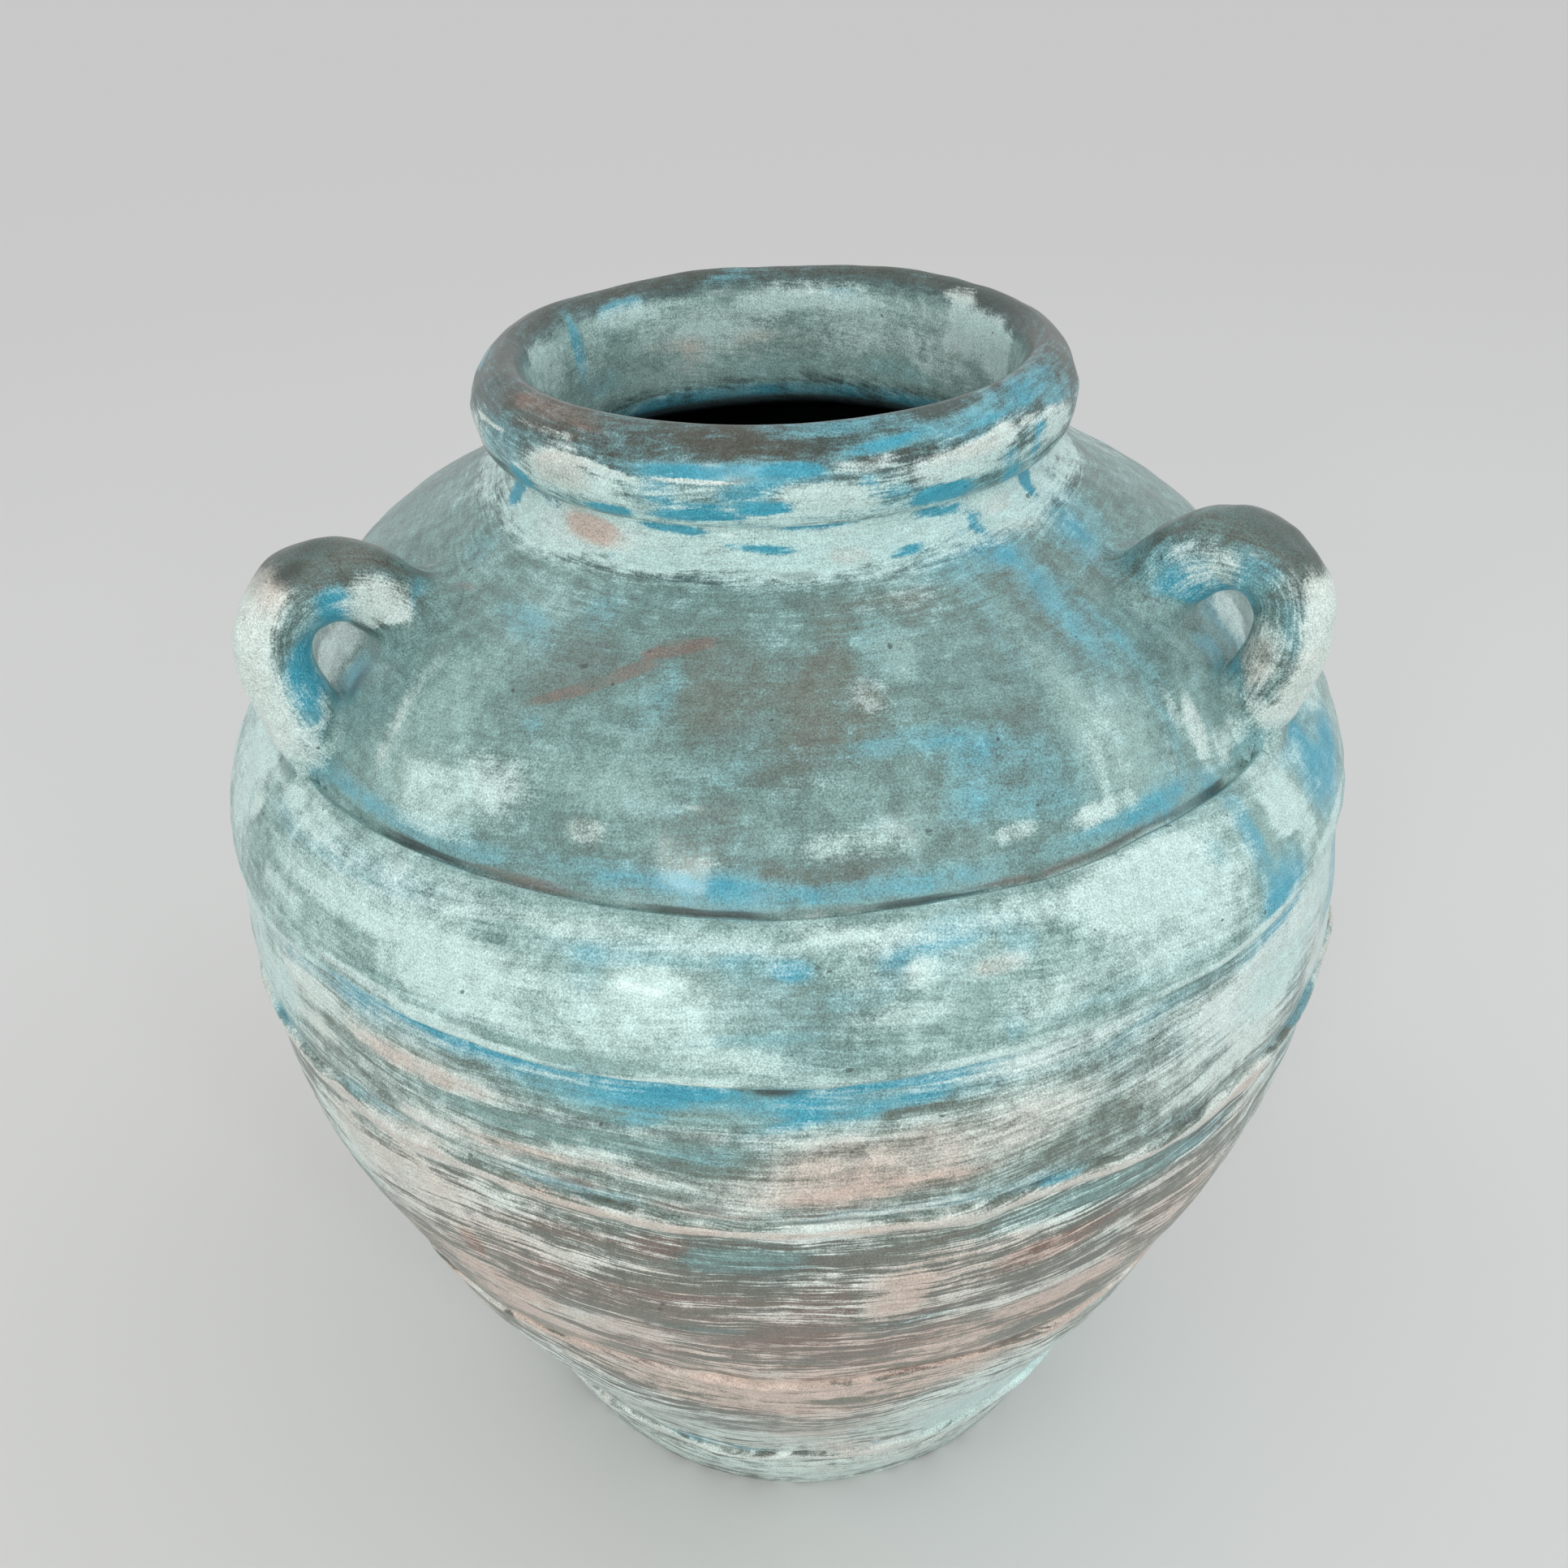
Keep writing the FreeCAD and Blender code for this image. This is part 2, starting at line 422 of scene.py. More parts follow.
class Shader:
    """A material's nodes, added one call at a time."""

    def __init__(self, name: str) -> None:
        """Start a material that holds nothing but its output.

        Args:
            name: the material's name.
        """
        self.material = bpy.data.materials.new(name)
        self.material.use_nodes = True
        self.tree = self.material.node_tree
        self.tree.nodes.clear()

    def node(self, kind: str, settings: dict[str, Any], inputs: dict[Any, Any], output: Any = None) -> Wire:
        """Add one node.

        Args:
            kind: the node's type.
            settings: its own settings, which are set first.
            inputs: a value or a Wire for each socket, by name or number.
            output: the socket that is wanted, by name or number; the first that is in use if none.

        Returns:
            The wanted output.
        """
        made = self.tree.nodes.new(kind)
        for name, value in settings.items():
            setattr(made, name, value)
        for name, value in inputs.items():
            socket = made.inputs[name]
            if isinstance(value, Wire):
                self.tree.links.new(value.socket, socket)
            else:
                socket.default_value = value
        if output is None:
            found = next((socket for socket in made.outputs if socket.enabled), None)
        else:
            found = made.outputs[output]
        return Wire(self, found)

    def blend(self, share: Any, under: Any, over: Any) -> Wire:
        """Lay one colour over another.

        Args:
            share: how much of the upper colour shows.
            under: the lower colour.
            over: the upper colour.

        Returns:
            The blended colour.
        """
        made = self.tree.nodes.new("ShaderNodeMix")
        made.data_type = "RGBA"
        sockets = {made.inputs[0]: share, made.inputs[6]: under, made.inputs[7]: over}
        for socket, value in sockets.items():
            if isinstance(value, Wire):
                self.tree.links.new(value.socket, socket)
            else:
                socket.default_value = value
        return Wire(self, made.outputs[2])

    def stretched(self, vector: Wire, scale: tuple[float, float, float]) -> Wire:
        """A vector scaled along each axis."""
        return self.node("ShaderNodeVectorMath", {"operation": "MULTIPLY"}, {0: vector, 1: scale})

    def grain(
        self, vector: Wire, scale: float, detail: float = 2.0, rough: float = 0.5, twist: float = 0.0
    ) -> Wire:
        """A noise from 0 to 1.

        Args:
            vector: the coordinates it follows.
            scale: how many of its lumps lie in one unit.
            detail: how many finer noises are added.
            rough: how strong the finer ones are.
            twist: how far it is distorted.

        Returns:
            The noise.
        """
        inputs = {
            "Vector": vector,
            "Scale": scale,
            "Detail": detail,
            "Roughness": rough,
            "Distortion": twist,
        }
        return self.node("ShaderNodeTexNoise", {}, inputs, "Fac")

    def bump(self, height: Wire, distance: float) -> Wire:
        """A normal that follows a height, which stands for so many metres."""
        return self.node("ShaderNodeBump", {}, {"Strength": 0.6, "Distance": distance, "Height": height})

    def channels(self, name: str) -> tuple[Wire, Wire, Wire, Wire]:
        """The four numbers that a piece's colour attribute holds.

        Args:
            name: the attribute.

        Returns:
            Its red, green, blue and alpha.
        """
        settings = {"attribute_name": name}
        colour = self.node("ShaderNodeAttribute", settings, {}, "Color")
        last = self.node("ShaderNodeAttribute", settings, {}, "Alpha")
        parts = (self.node("ShaderNodeSeparateColor", {}, {"Color": colour}, at) for at in range(3))
        return *parts, last

    def finish(self, **sockets: Any) -> bpy.types.Material:
        """End the material with one Principled shader.

        Args:
            sockets: a value or a Wire for each socket, by its name with underscores for spaces.

        Returns:
            The material.
        """
        named = {name.replace("_", " "): value for name, value in sockets.items()}
        surface = self.node("ShaderNodeBsdfPrincipled", {}, named)
        output = self.tree.nodes.new("ShaderNodeOutputMaterial")
        self.tree.links.new(surface.socket, output.inputs["Surface"])
        return self.material


@dataclass(frozen=True)
class PaintedClay:
    """Clay under a grey-green ground, an aqua film, blue and brown washes and dry-brushed white, with
    painted shade in its creases and its hollow.

    Args:
        name: the material's name.
        ground: the ground's colour where it is cool.
        warm_ground: the ground's colour where the clay shows through.
        film: the aqua film's colour.
        pale_film: the film's colour where it lies thick.
        blue: the blue wash where it is thin.
        deep_blue: the blue wash where it has run together.
        brown: the brown wash.
        rust: the brown wash where it is reddish.
        white: the dry-brushed white.
        aqua_white: the same white over the film.
        pink_white: the same white where the clay tints it.
        shade_and_speck: the painted shade in creases, under lips and beside the handles, the dark lines,
            and the specks.
        hollow_shade: the jar's hollow, its unpainted clay painted down to the near black of its shade.
        stipple: how many grains of the stippled film lie in a metre.
        roughness: how matt the paint is on the whole.
        relief: how high the brush marks stand, in metres.
        crisp: how sharply the washes and the white end.
        shine: how strongly the paint itself reflects.
        varnish: how thick the varnish over it is.
    """

    name: str
    ground: str = "67756F"
    warm_ground: str = "7E7F74"
    film: str = "759C9B"
    pale_film: str = "A0BFBA"
    blue: str = "78B0BA"
    deep_blue: str = "3FA3BC"
    brown: str = "7C7169"
    rust: str = "83665A"
    white: str = "E0E6E0"
    aqua_white: str = "C6E1DE"
    pink_white: str = "CDBBB0"
    shade_and_speck: str = "404846"
    hollow_shade: str = "12181D"
    stipple: float = 1350.0
    roughness: float = 0.38
    relief: float = 0.0005
    crisp: float = 1.15
    shine: float = 0.2
    varnish: float = 0.25

    def material(self) -> bpy.types.Material:
        """Make the material.

        Returns:
            A material that reads Object coordinates and the piece's brush, paint and touch.
        """
        shader = Shader(self.name)
        place = shader.node("ShaderNodeTexCoord", {}, {}, "Object")
        brush = shader.node("ShaderNodeAttribute", {"attribute_name": "brush"}, {}, "Vector")
        blue, white, brown, dark = shader.channels("paint")
        streak, warm, hollow, aqua = shader.channels("touch")

        stipple = shader.grain(place, self.stipple, 1.5, 0.6)
        mottle = shader.grain(place, 140.0, 3.0, 0.6, 0.3)
        patch = shader.grain(shader.stretched(place, (1.0, 1.0, 1.35)), 36.0, 3.0, 0.55, 0.5)
        cloud = shader.grain(place, 15.0, 2.0, 0.5, 0.4)
        bristle = shader.grain(shader.stretched(brush, (0.34, 0.34, 6.5)), 1.0, 3.0, 0.62, 0.35)
        sweep = shader.grain(shader.stretched(brush, (0.14, 0.14, 1.5)), 1.0, 3.0, 0.55, 0.5)

        dabs = (stipple - 0.5) * 0.6 + (mottle - 0.5) * 0.8 + (patch - 0.5) * 0.8
        lines = (bristle - 0.5) * 2.6 + (sweep - 0.5) * 1.9 + (stipple - 0.5) * 0.3 + (mottle - 0.5) * 0.7
        texture = dabs + (lines - dabs) * streak
        broken = texture + (cloud - 0.5) * 0.8

        film_share = (aqua + broken * 0.9).eased(0.0, 1.0)
        pale_share = (aqua - 0.35 + texture * 0.8 + (cloud - 0.5)).eased(0.1, 1.0)
        blue_share = (blue + broken * 0.9).eased(0.1, 1.0)
        deep_share = (blue * 0.8 + (patch - 0.5) * 1.2 + (cloud - 0.5) * 0.8).eased(0.35, 1.05)
        edge = 1 / self.crisp
        brown_share = (brown + broken - 0.5).eased(-0.35 * edge, 0.35 * edge)
        rust_share = (warm * 0.4 + (sweep - 0.5) * 2 + (cloud - 0.5)).eased(0.3, 0.9)
        white_share = (white + texture * 1.1 + (cloud - 0.5) * 0.5 - 0.6).eased(-0.55 * edge, 0.55 * edge)
        pink_share = (warm + (cloud - 0.5) + (patch - 0.5) * 0.6).eased(0.35, 1.25)
        dark_and_shade_share = (dark + texture * 0.5).eased(0.25, 0.95)

        warmth = (warm * 0.8 + (cloud - 0.5)).held()
        colour = shader.blend(warmth, srgb(self.ground), srgb(self.warm_ground))
        film = shader.blend(pale_share, srgb(self.film), srgb(self.pale_film))
        colour = shader.blend(film_share * 0.85, colour, film)
        wash = shader.blend(rust_share, srgb(self.brown), srgb(self.rust))
        colour = shader.blend(brown_share * 0.92, colour, wash)
        sea = shader.blend(deep_share, srgb(self.blue), srgb(self.deep_blue))
        colour = shader.blend(blue_share * 0.88, colour, sea)
        chalk = shader.blend(aqua.held(), srgb(self.white), srgb(self.aqua_white))
        chalk = shader.blend(pink_share, chalk, srgb(self.pink_white))
        colour = shader.blend(white_share * 0.92, colour, chalk)
        # The dark coat: painted shade in creases, under lips and beside the handles' roots, and dark lines.
        colour = shader.blend(dark_and_shade_share * 0.85, colour, srgb(self.shade_and_speck))
        lightness = 1 + (stipple - 0.5) * 1.5 + (mottle - 0.5) * 0.5 + (bristle - 0.5) * streak
        scaling = {"operation": "SCALE"}
        colour = shader.node("ShaderNodeVectorMath", scaling, {0: colour, "Scale": lightness})
        specks = shader.grain(place, 210.0, 0.0).eased(0.85, 0.87)
        colour = shader.blend(specks * 0.7, colour, srgb(self.shade_and_speck))
        # The hollow, painted down to the near black of its shade.
        colour = shader.blend(hollow.held(), colour, srgb(self.hollow_shade))

        height = stipple * 0.35 + mottle * 0.5 + (bristle - 0.5) * streak * 0.8
        height = height + white_share * 0.3 - dark_and_shade_share * 0.2
        relief = shader.bump(height, self.relief)
        gloss = (self.roughness + texture * 0.10 - blue_share * 0.05 + hollow * 0.4).held()
        return shader.finish(
            Base_Color=colour,
            Roughness=gloss,
            Specular_IOR_Level=self.shine,
            Coat_Weight=self.varnish,
            Coat_Roughness=0.18,
            Normal=relief,
        )


def metre_mesh(name: str, shape: bmesh.types.BMesh, places: np.ndarray) -> bpy.types.Object:
    """Turn a finished shape into an object at the origin, in metres.

    Args:
        name: the object's name.
        shape: the shape, which is freed.
        places: where each of its vertices goes, in millimetres.

    Returns:
        The object, linked to the scene.
    """
    mesh = bpy.data.meshes.new(name)
    shape.to_mesh(mesh)
    shape.free()
    mesh.vertices.foreach_set("co", (places / METRE).astype(np.float32).ravel())
    mesh.shade_smooth()
    mesh.set_sharp_from_angle(angle=math.radians(CREASE_ANGLE))
    mesh.update()
    made = bpy.data.objects.new(name, mesh)
    bpy.context.scene.collection.objects.link(made)
    return made


def settle(piece: bpy.types.Object, node: str, material: bpy.types.Material) -> None:
    """Dress a piece, let it ride on the jar and stand for its node.

    Args:
        piece: the finished piece.
        node: the CAD node that it replaces.
        material: what it is painted with.
    """
    piece.data.materials.append(material)
    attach(piece, "root")
    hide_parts(node)
    log.info("%s stands for %s: %d faces", piece.name, node, len(piece.data.polygons))


def closed_section(points: np.ndarray, **layers: np.ndarray) -> bmesh.types.BMesh:
    """Start a shape as one closed line in a plane through the axis.

    Args:
        points: how far out and how high each of its points is, one row each.
        layers: numbers for each point, which are kept in a vertex layer of that name.

    Returns:
        The shape.
    """
    shape = bmesh.new()
    for name in layers:
        shape.verts.layers.float.new(name)
    corners = [shape.verts.new((radius, 0, height)) for radius, height in points]
    for name, values in layers.items():
        layer = shape.verts.layers.float[name]
        for corner, value in zip(corners, values):
            corner[layer] = value
    for first, second in zip(corners, corners[1:] + corners[:1]):
        shape.edges.new((first, second))
    return shape


def throw_round(shape: bmesh.types.BMesh, turns: int, sectors: int = 16) -> None:
    """Spin a closed section once round the jar's axis.

    One sector is spun and then doubled until it meets itself, which is much quicker
    than one spin of many steps.

    Args:
        shape: a shape that holds the section alone.
        turns: how many steps the whole turn has, a multiple of the sectors.
        sectors: how many sectors the turn has, a power of 2.
    """
    section = [*shape.verts, *shape.edges]
    angle = 2 * math.pi / sectors
    bmesh.ops.spin(shape, geom=section, cent=(0, 0, 0), axis=(0, 0, 1), angle=angle, steps=turns // sectors)
    while angle < 1.9 * math.pi:
        copied = bmesh.ops.duplicate(shape, geom=[*shape.verts, *shape.edges, *shape.faces])["geom"]
        fresh = [part for part in copied if isinstance(part, bmesh.types.BMVert)]
        bmesh.ops.rotate(shape, cent=(0, 0, 0), matrix=Matrix.Rotation(angle, 3, "Z"), verts=fresh)
        angle *= 2
    bmesh.ops.remove_doubles(shape, verts=shape.verts, dist=0.02)
    bmesh.ops.recalc_face_normals(shape, faces=shape.faces)


def read_layer(shape: bmesh.types.BMesh, name: str) -> np.ndarray:
    """One number of each vertex, from the named layer of a shape."""
    layer = shape.verts.layers.float[name]
    return np.array([vertex[layer] for vertex in shape.verts])


def vertex_places(shape: bmesh.types.BMesh) -> np.ndarray:
    """Where each vertex of a shape is, one row each."""
    return np.array([vertex.co[:] for vertex in shape.verts])


@dataclass(frozen=True)
class Brushwork:
    """All the paint on the jar, its painted shade and highlights among it: how it lies at each height,
    along the seams, and stroke by stroke.

    Args:
        zones: a row for each height, with the eight coats' starting strength in Coat's order.
        marks: the strokes and the seams' paint, in the order they are laid.
    """

    zones: Sequence[tuple[float, ...]]
    marks: Sequence[Stroke | SeamPaint]

    def coats(self, around: np.ndarray, heights: np.ndarray, radii: np.ndarray) -> np.ndarray:
        """Paint a piece.

        Args:
            around: each vertex's azimuth.
            heights: each vertex's height, as strokes count it.
            radii: each vertex's distance from the axis that the azimuth turns round.

        Returns:
            The coats, a row for each vertex and a column for each coat.
        """
        table = np.array(self.zones)
        columns = [np.interp(heights, table[:, 0], table[:, 1 + coat.value]) for coat in Coat]
        laid = np.stack(columns, axis=1)
        for mark in self.marks:
            mark.lay(laid, around, heights, radii)
        return np.clip(laid, -1.5, 2.0)


def wear(piece: bpy.types.Object, coats: np.ndarray, brush: np.ndarray) -> None:
    """Write a piece's coats and the way its brush marks run as attributes.

    Args:
        piece: the piece.
        coats: its coats, a row for each vertex.
        brush: coordinates in which a brush mark is a centimetre thick, a row for each vertex.
    """
    for name, first in (("paint", 0), ("touch", 4)):
        attribute = piece.data.attributes.new(name, "FLOAT_COLOR", "POINT")
        attribute.data.foreach_set("color", coats[:, first : first + 4].astype(np.float32).ravel())
    attribute = piece.data.attributes.new("brush", "FLOAT_VECTOR", "POINT")
    attribute.data.foreach_set("vector", brush.astype(np.float32).ravel())


@dataclass
class Ring:
    """One ring of the jar's wall, spun round the axis from its section.

    Args:
        node: the CAD node that it stands for.
        slot: the record's material slot.
        outside: the section's outer line, from its foot up.
        inside: the section's inner line, from its top down.
        spacing: the distance between the outer line's points.
        hidden_spacing: the same for the inner line, where it isn't seen.
        turns: how many steps the spin takes.
        open_mouth: whether its inner line is seen and painted, as the neck's and the rim's are.
    """

    node: str
    slot: Slot
    outside: Sequence[Pair]
    inside: Sequence[Pair]
    spacing: float = 3.0
    hidden_spacing: float = 9.0
    turns: int = 720
    open_mouth: bool = False

    def spun(self) -> bmesh.types.BMesh:
        """Spin the section.

        Returns:
            A closed ring, with each vertex's run along the section and whether it is inside.
        """
        outer = smooth_line(self.outside, self.spacing)
        inner = smooth_line(self.inside, self.spacing if self.open_mouth else self.hidden_spacing)
        section = np.concatenate([outer, inner])
        keep = np.linalg.norm(section - np.roll(section, 1, axis=0), axis=1) > 0.01
        within = np.arange(len(section)) >= len(outer)
        section = section[keep]
        within = within[keep]
        steps = np.linalg.norm(np.diff(section, axis=0, prepend=section[:1]), axis=1)
        runs = np.cumsum(steps)
        shape = closed_section(section, run=runs, within=within.astype(float))
        throw_round(shape, self.turns)
        return shape

    def build(self, brushwork: Brushwork, material: bpy.types.Material) -> bpy.types.Object:
        """Make, paint and settle the ring.

        Args:
            brushwork: the jar's paint.
            material: the finish.

        Returns:
            The finished piece.
        """
        shape = self.spun()
        runs = read_layer(shape, "run")
        within = read_layer(shape, "within") > 0.5
        places = HAND.shaped(vertex_places(shape))
        piece = metre_mesh(self.node + "_painted", shape, places)
        around = azimuths(places)
        radii = np.hypot(places[:, 0], places[:, 1])
        heights = np.where(within & self.open_mouth, 2 * JAR_HEIGHT - places[:, 2], places[:, 2])
        coats = brushwork.coats(around, heights, radii)
        # Its unseen inside is painted with the hollow's near black shade.
        if not self.open_mouth:
            coats[within, Coat.HOLLOW_SHADE.value] = 1.0
        wear(piece, coats, ring_brush(places, runs))
        settle(piece, self.node, material)
        return piece


def ring_brush(places: np.ndarray, runs: np.ndarray) -> np.ndarray:
    """Coordinates for brush marks that run round the jar.

    Args:
        places: the piece's vertices.
        runs: how far along the section each is.

    Returns:
        The coordinates, a row for each vertex.
    """
    angles = np.arctan2(places[:, 1], places[:, 0])
    slant = Ripple(230, 9, 31).at(places) + Ripple(90, 2, 32).at(places)
    return np.stack([np.cos(angles) * 25, np.sin(angles) * 25, (runs + slant) / 10], axis=1)


@dataclass
class SeamStrip:
    """A strip of clay pressed over a seam: steep and ragged above, feathered below.

    Args:
        node: the CAD node that it stands for.
        seam: the seam that it covers.
        section: points along the wall upwards and out from it, from the strip's lower edge up.
        sunk: how deep its back lies in the walls.
        ragged: how far its edges wander.
        turns: how many steps the spin takes.
    """

    node: str
    seam: Seam
    section: Sequence[Pair] = (
        (-8.0, -0.6), (-6.6, 0.15), (-5.0, 0.75), (-3.0, 1.6), (-1.0, 2.4),
        (1.2, 2.95), (3.2, 3.0), (4.8, 2.5), (5.8, 1.3), (6.3, -0.7),
    )
    sunk: float = 2.2
    ragged: float = 1.6
    turns: int = 800

    def build(self, brushwork: Brushwork, material: bpy.types.Material) -> bpy.types.Object:
        """Make, paint and settle the strip, as Ring.build does."""
        lean = math.radians(self.seam.lean)
        outward = np.array([math.cos(lean), math.sin(lean)])
        upward = np.array([-math.sin(lean), math.cos(lean)])
        crown = smooth_line(self.section, 0.8)
        back = np.array([[crown[-1, 0], -self.sunk], [crown[0, 0], -self.sunk]])
        outline = np.concatenate([crown, back])
        along, out = outline.T
        middle = np.array([self.seam.radius, self.seam.height])
        shape = closed_section(middle + outline @ np.array([upward, outward]), along=along, out=out)
        throw_round(shape, self.turns)
        along = read_layer(shape, "along")
        out = read_layer(shape, "out")
        places = vertex_places(shape)
        angles = np.arctan2(places[:, 1], places[:, 0])
        ring = np.stack([np.cos(angles), np.sin(angles), np.zeros(len(angles))], axis=1) * self.seam.radius
        seed = int(self.seam.height)
        ragged_top = Ripple(34, self.ragged, seed).at(ring) + Ripple(9, 0.5, seed + 1).at(ring)
        ragged_foot = Ripple(48, self.ragged * 1.6, seed + 2).at(ring) + Ripple(12, 0.5, seed + 3).at(ring)
        top_shift = ragged_top * eased(along, 1, 6)
        foot_shift = ragged_foot * eased(-along, -1, 7)
        edge_shift = np.where(along > 1, top_shift, foot_shift)
        fullness = np.clip(0.82 + Ripple(60, 0.45, seed + 4).at(ring), 0.3, 1.1)
        lift = np.where(out > 0, out * (fullness - 1), 0)
        moved = upward * edge_shift[:, None] + outward * lift[:, None]
        places[:, 0] += moved[:, 0] * np.cos(angles)
        places[:, 1] += moved[:, 0] * np.sin(angles)
        places[:, 2] += moved[:, 1]
        places = HAND.shaped(places)
        piece = metre_mesh(self.node + "_painted", shape, places)
        radii = np.hypot(places[:, 0], places[:, 1])
        coats = brushwork.coats(azimuths(places), places[:, 2], radii)
        wear(piece, coats, ring_brush(places, along))
        settle(piece, self.node, material)
        return piece


def above_skin(places: np.ndarray, skin: np.ndarray) -> tuple[np.ndarray, np.ndarray]:
    """How far out of the wall each place is, and which way is out.

    Args:
        places: points, one row each.
        skin: the wall's outer line, out from the axis and up.

    Returns:
        The distance of each from the wall, below 0 inside it, and the wall's normal beside it.
    """
    radii = np.hypot(places[:, 0], places[:, 1])
    flat = np.stack([radii, places[:, 2]], axis=1)
    gaps = flat[:, None, :] - skin[None, :, :]
    nearest = np.argmin((gaps**2).sum(axis=2), axis=1)
    ways = np.gradient(skin, axis=0)
    ways /= np.linalg.norm(ways, axis=1)[:, None]
    outward = np.stack([ways[:, 1], -ways[:, 0]], axis=1)[nearest]
    above = (gaps[np.arange(len(flat)), nearest] * outward).sum(axis=1)
    around = places[:, :2] / radii[:, None]
    return above, np.concatenate([around * outward[:, :1], outward[:, 1:]], axis=1)


@dataclass
class LoopHandle:
    """A thick rolled coil, bent into a loop whose two roots are smeared onto the shoulder.

    Args:
        node: the CAD node that it stands for.
        azimuth: where it stands round the jar.
        first_height: the height at which strokes find the foot of its lower root.
        centreline: its middle line, out from the jar's axis and up, from the lower root.
        thickness: the coil's radius at shares of the way along it.
        smear: how wide the clay is smeared at the roots.
        upper_root: how far along the coil its upper root starts and is full.
        mingling: how far out of the wall the wall's paint and its own run together.
        segments: how many points its section has.
        spacing: the distance between its sections.
        seed: what its unevenness is drawn from.
    """

    node: str
    azimuth: float
    first_height: float
    centreline: Sequence[Pair]
    thickness: Sequence[Pair]
    smear: float = 8.0
    upper_root: Pair = (118, 155)
    mingling: float = 14.0
    segments: int = 96
    spacing: float = 1.1
    seed: int = 5

    def station(self, middle: np.ndarray, way: np.ndarray, radius: float) -> Matrix:
        """The placing of one round section.

        Args:
            middle: the section's centre, out and up.
            way: the direction of the coil there, out and up.
            radius: the coil's radius there.

        Returns:
            A matrix that brings a flat unit circle there.
        """
        angle = math.radians(self.azimuth)
        out = Vector((math.sin(angle), -math.cos(angle), 0))
        side = Vector((math.cos(angle), math.sin(angle), 0))
        up = Vector((0, 0, 1))
        along = (out * way[0] + up * way[1]).normalized()
        away = out * way[1] - up * way[0]
        turned = Matrix((away, side, along)).transposed().to_4x4()
        return Matrix.Translation(out * middle[0] + up * middle[1]) @ turned @ Matrix.Scale(radius, 4)

    def coiled(self) -> bmesh.types.BMesh:
        """Extrude the round section along the middle line.

        Returns:
            A closed coil, with each vertex's path along it and angle round it.
        """
        line = smooth_line(self.centreline, self.spacing)
        ways = np.gradient(line, axis=0)
        ways /= np.linalg.norm(ways, axis=1)[:, None]
        shares = np.linspace(0, 1, len(line))
        radii = np.interp(shares, *zip(*self.thickness))
        shape = bmesh.new()
        path_layer = shape.verts.layers.float.new("path")
        angle_layer = shape.verts.layers.float.new("angle")
        placings = [self.station(*placed) for placed in zip(line, ways, radii)]
        bmesh.ops.create_circle(shape, cap_ends=False, segments=self.segments, radius=1)
        for vertex in shape.verts:
            vertex[angle_layer] = math.atan2(vertex.co.y, vertex.co.x)
        bmesh.ops.transform(shape, matrix=placings[0], verts=shape.verts)
        loop = list(shape.edges)
        first_loop = loop
        for at in range(1, len(line)):
            grown = bmesh.ops.extrude_edge_only(shape, edges=loop)["geom"]
            fresh = [part for part in grown if isinstance(part, bmesh.types.BMVert)]
            loop = [part for part in grown if isinstance(part, bmesh.types.BMEdge)]
            bmesh.ops.transform(shape, matrix=placings[at] @ placings[at - 1].inverted(), verts=fresh)
            for vertex in fresh:
                vertex[path_layer] = at * self.spacing
        bmesh.ops.contextual_create(shape, geom=first_loop)
        bmesh.ops.contextual_create(shape, geom=loop)
        bmesh.ops.recalc_face_normals(shape, faces=shape.faces)
        return shape

    def smeared(
        self, places: np.ndarray, paths: np.ndarray, angles: np.ndarray, skin: np.ndarray
    ) -> np.ndarray:
        """Smear the roots onto the wall and make the coil uneven.

        Args:
            places: the coil's vertices.
            paths: how far along the coil each is.
            angles: how far round the coil each is, from its outer side.
            skin: the wall's outer line, out and up.

        Returns:
            The moved vertices.
        """
        line = smooth_line(self.centreline, self.spacing)
        turn = math.radians(self.azimuth)
        out = np.array([math.sin(turn), -math.cos(turn), 0])
        at = np.clip(np.rint(paths / self.spacing).astype(int), 0, len(line) - 1)
        middles = line[at, :1] * out + line[at, 1:] * np.array([0, 0, 1])
        spokes = places - middles
        lengths = np.linalg.norm(spokes, axis=1)
        spokes /= lengths[:, None]
        above = above_skin(places, skin)[0]
        lumpy = Ripple(26, 0.35, self.seed).at(places)
        upper = 1 + 0.7 * eased(paths, *self.upper_root)
        inner = 1 - 0.55 * eased(np.abs(angles), 1.9, 2.9)
        width = self.smear * upper * inner * np.clip(1 + lumpy, 0.55, 1.6)
        inset = np.clip(width - np.maximum(above, 0), 0, None)
        spread = width - np.sqrt(np.maximum(width**2 - inset**2, 0))
        buried = above < 0
        spread[buried] = width[buried]
        uneven = Ripple(38, 0.9, self.seed + 1).at(places)
        uneven += Ripple(12, 0.28, self.seed + 2).at(places)
        uneven *= eased(above, 0, 10)
        moved = places + spokes * (spread + uneven)[:, None]
        after, outward = above_skin(moved, skin)
        wanted = np.where(above > 0, above, np.maximum(above, -4) - 0.4)
        sunk = (wanted - after) * (1 - eased(above, 0.6 * width, width))
        return moved + outward * sunk[:, None]

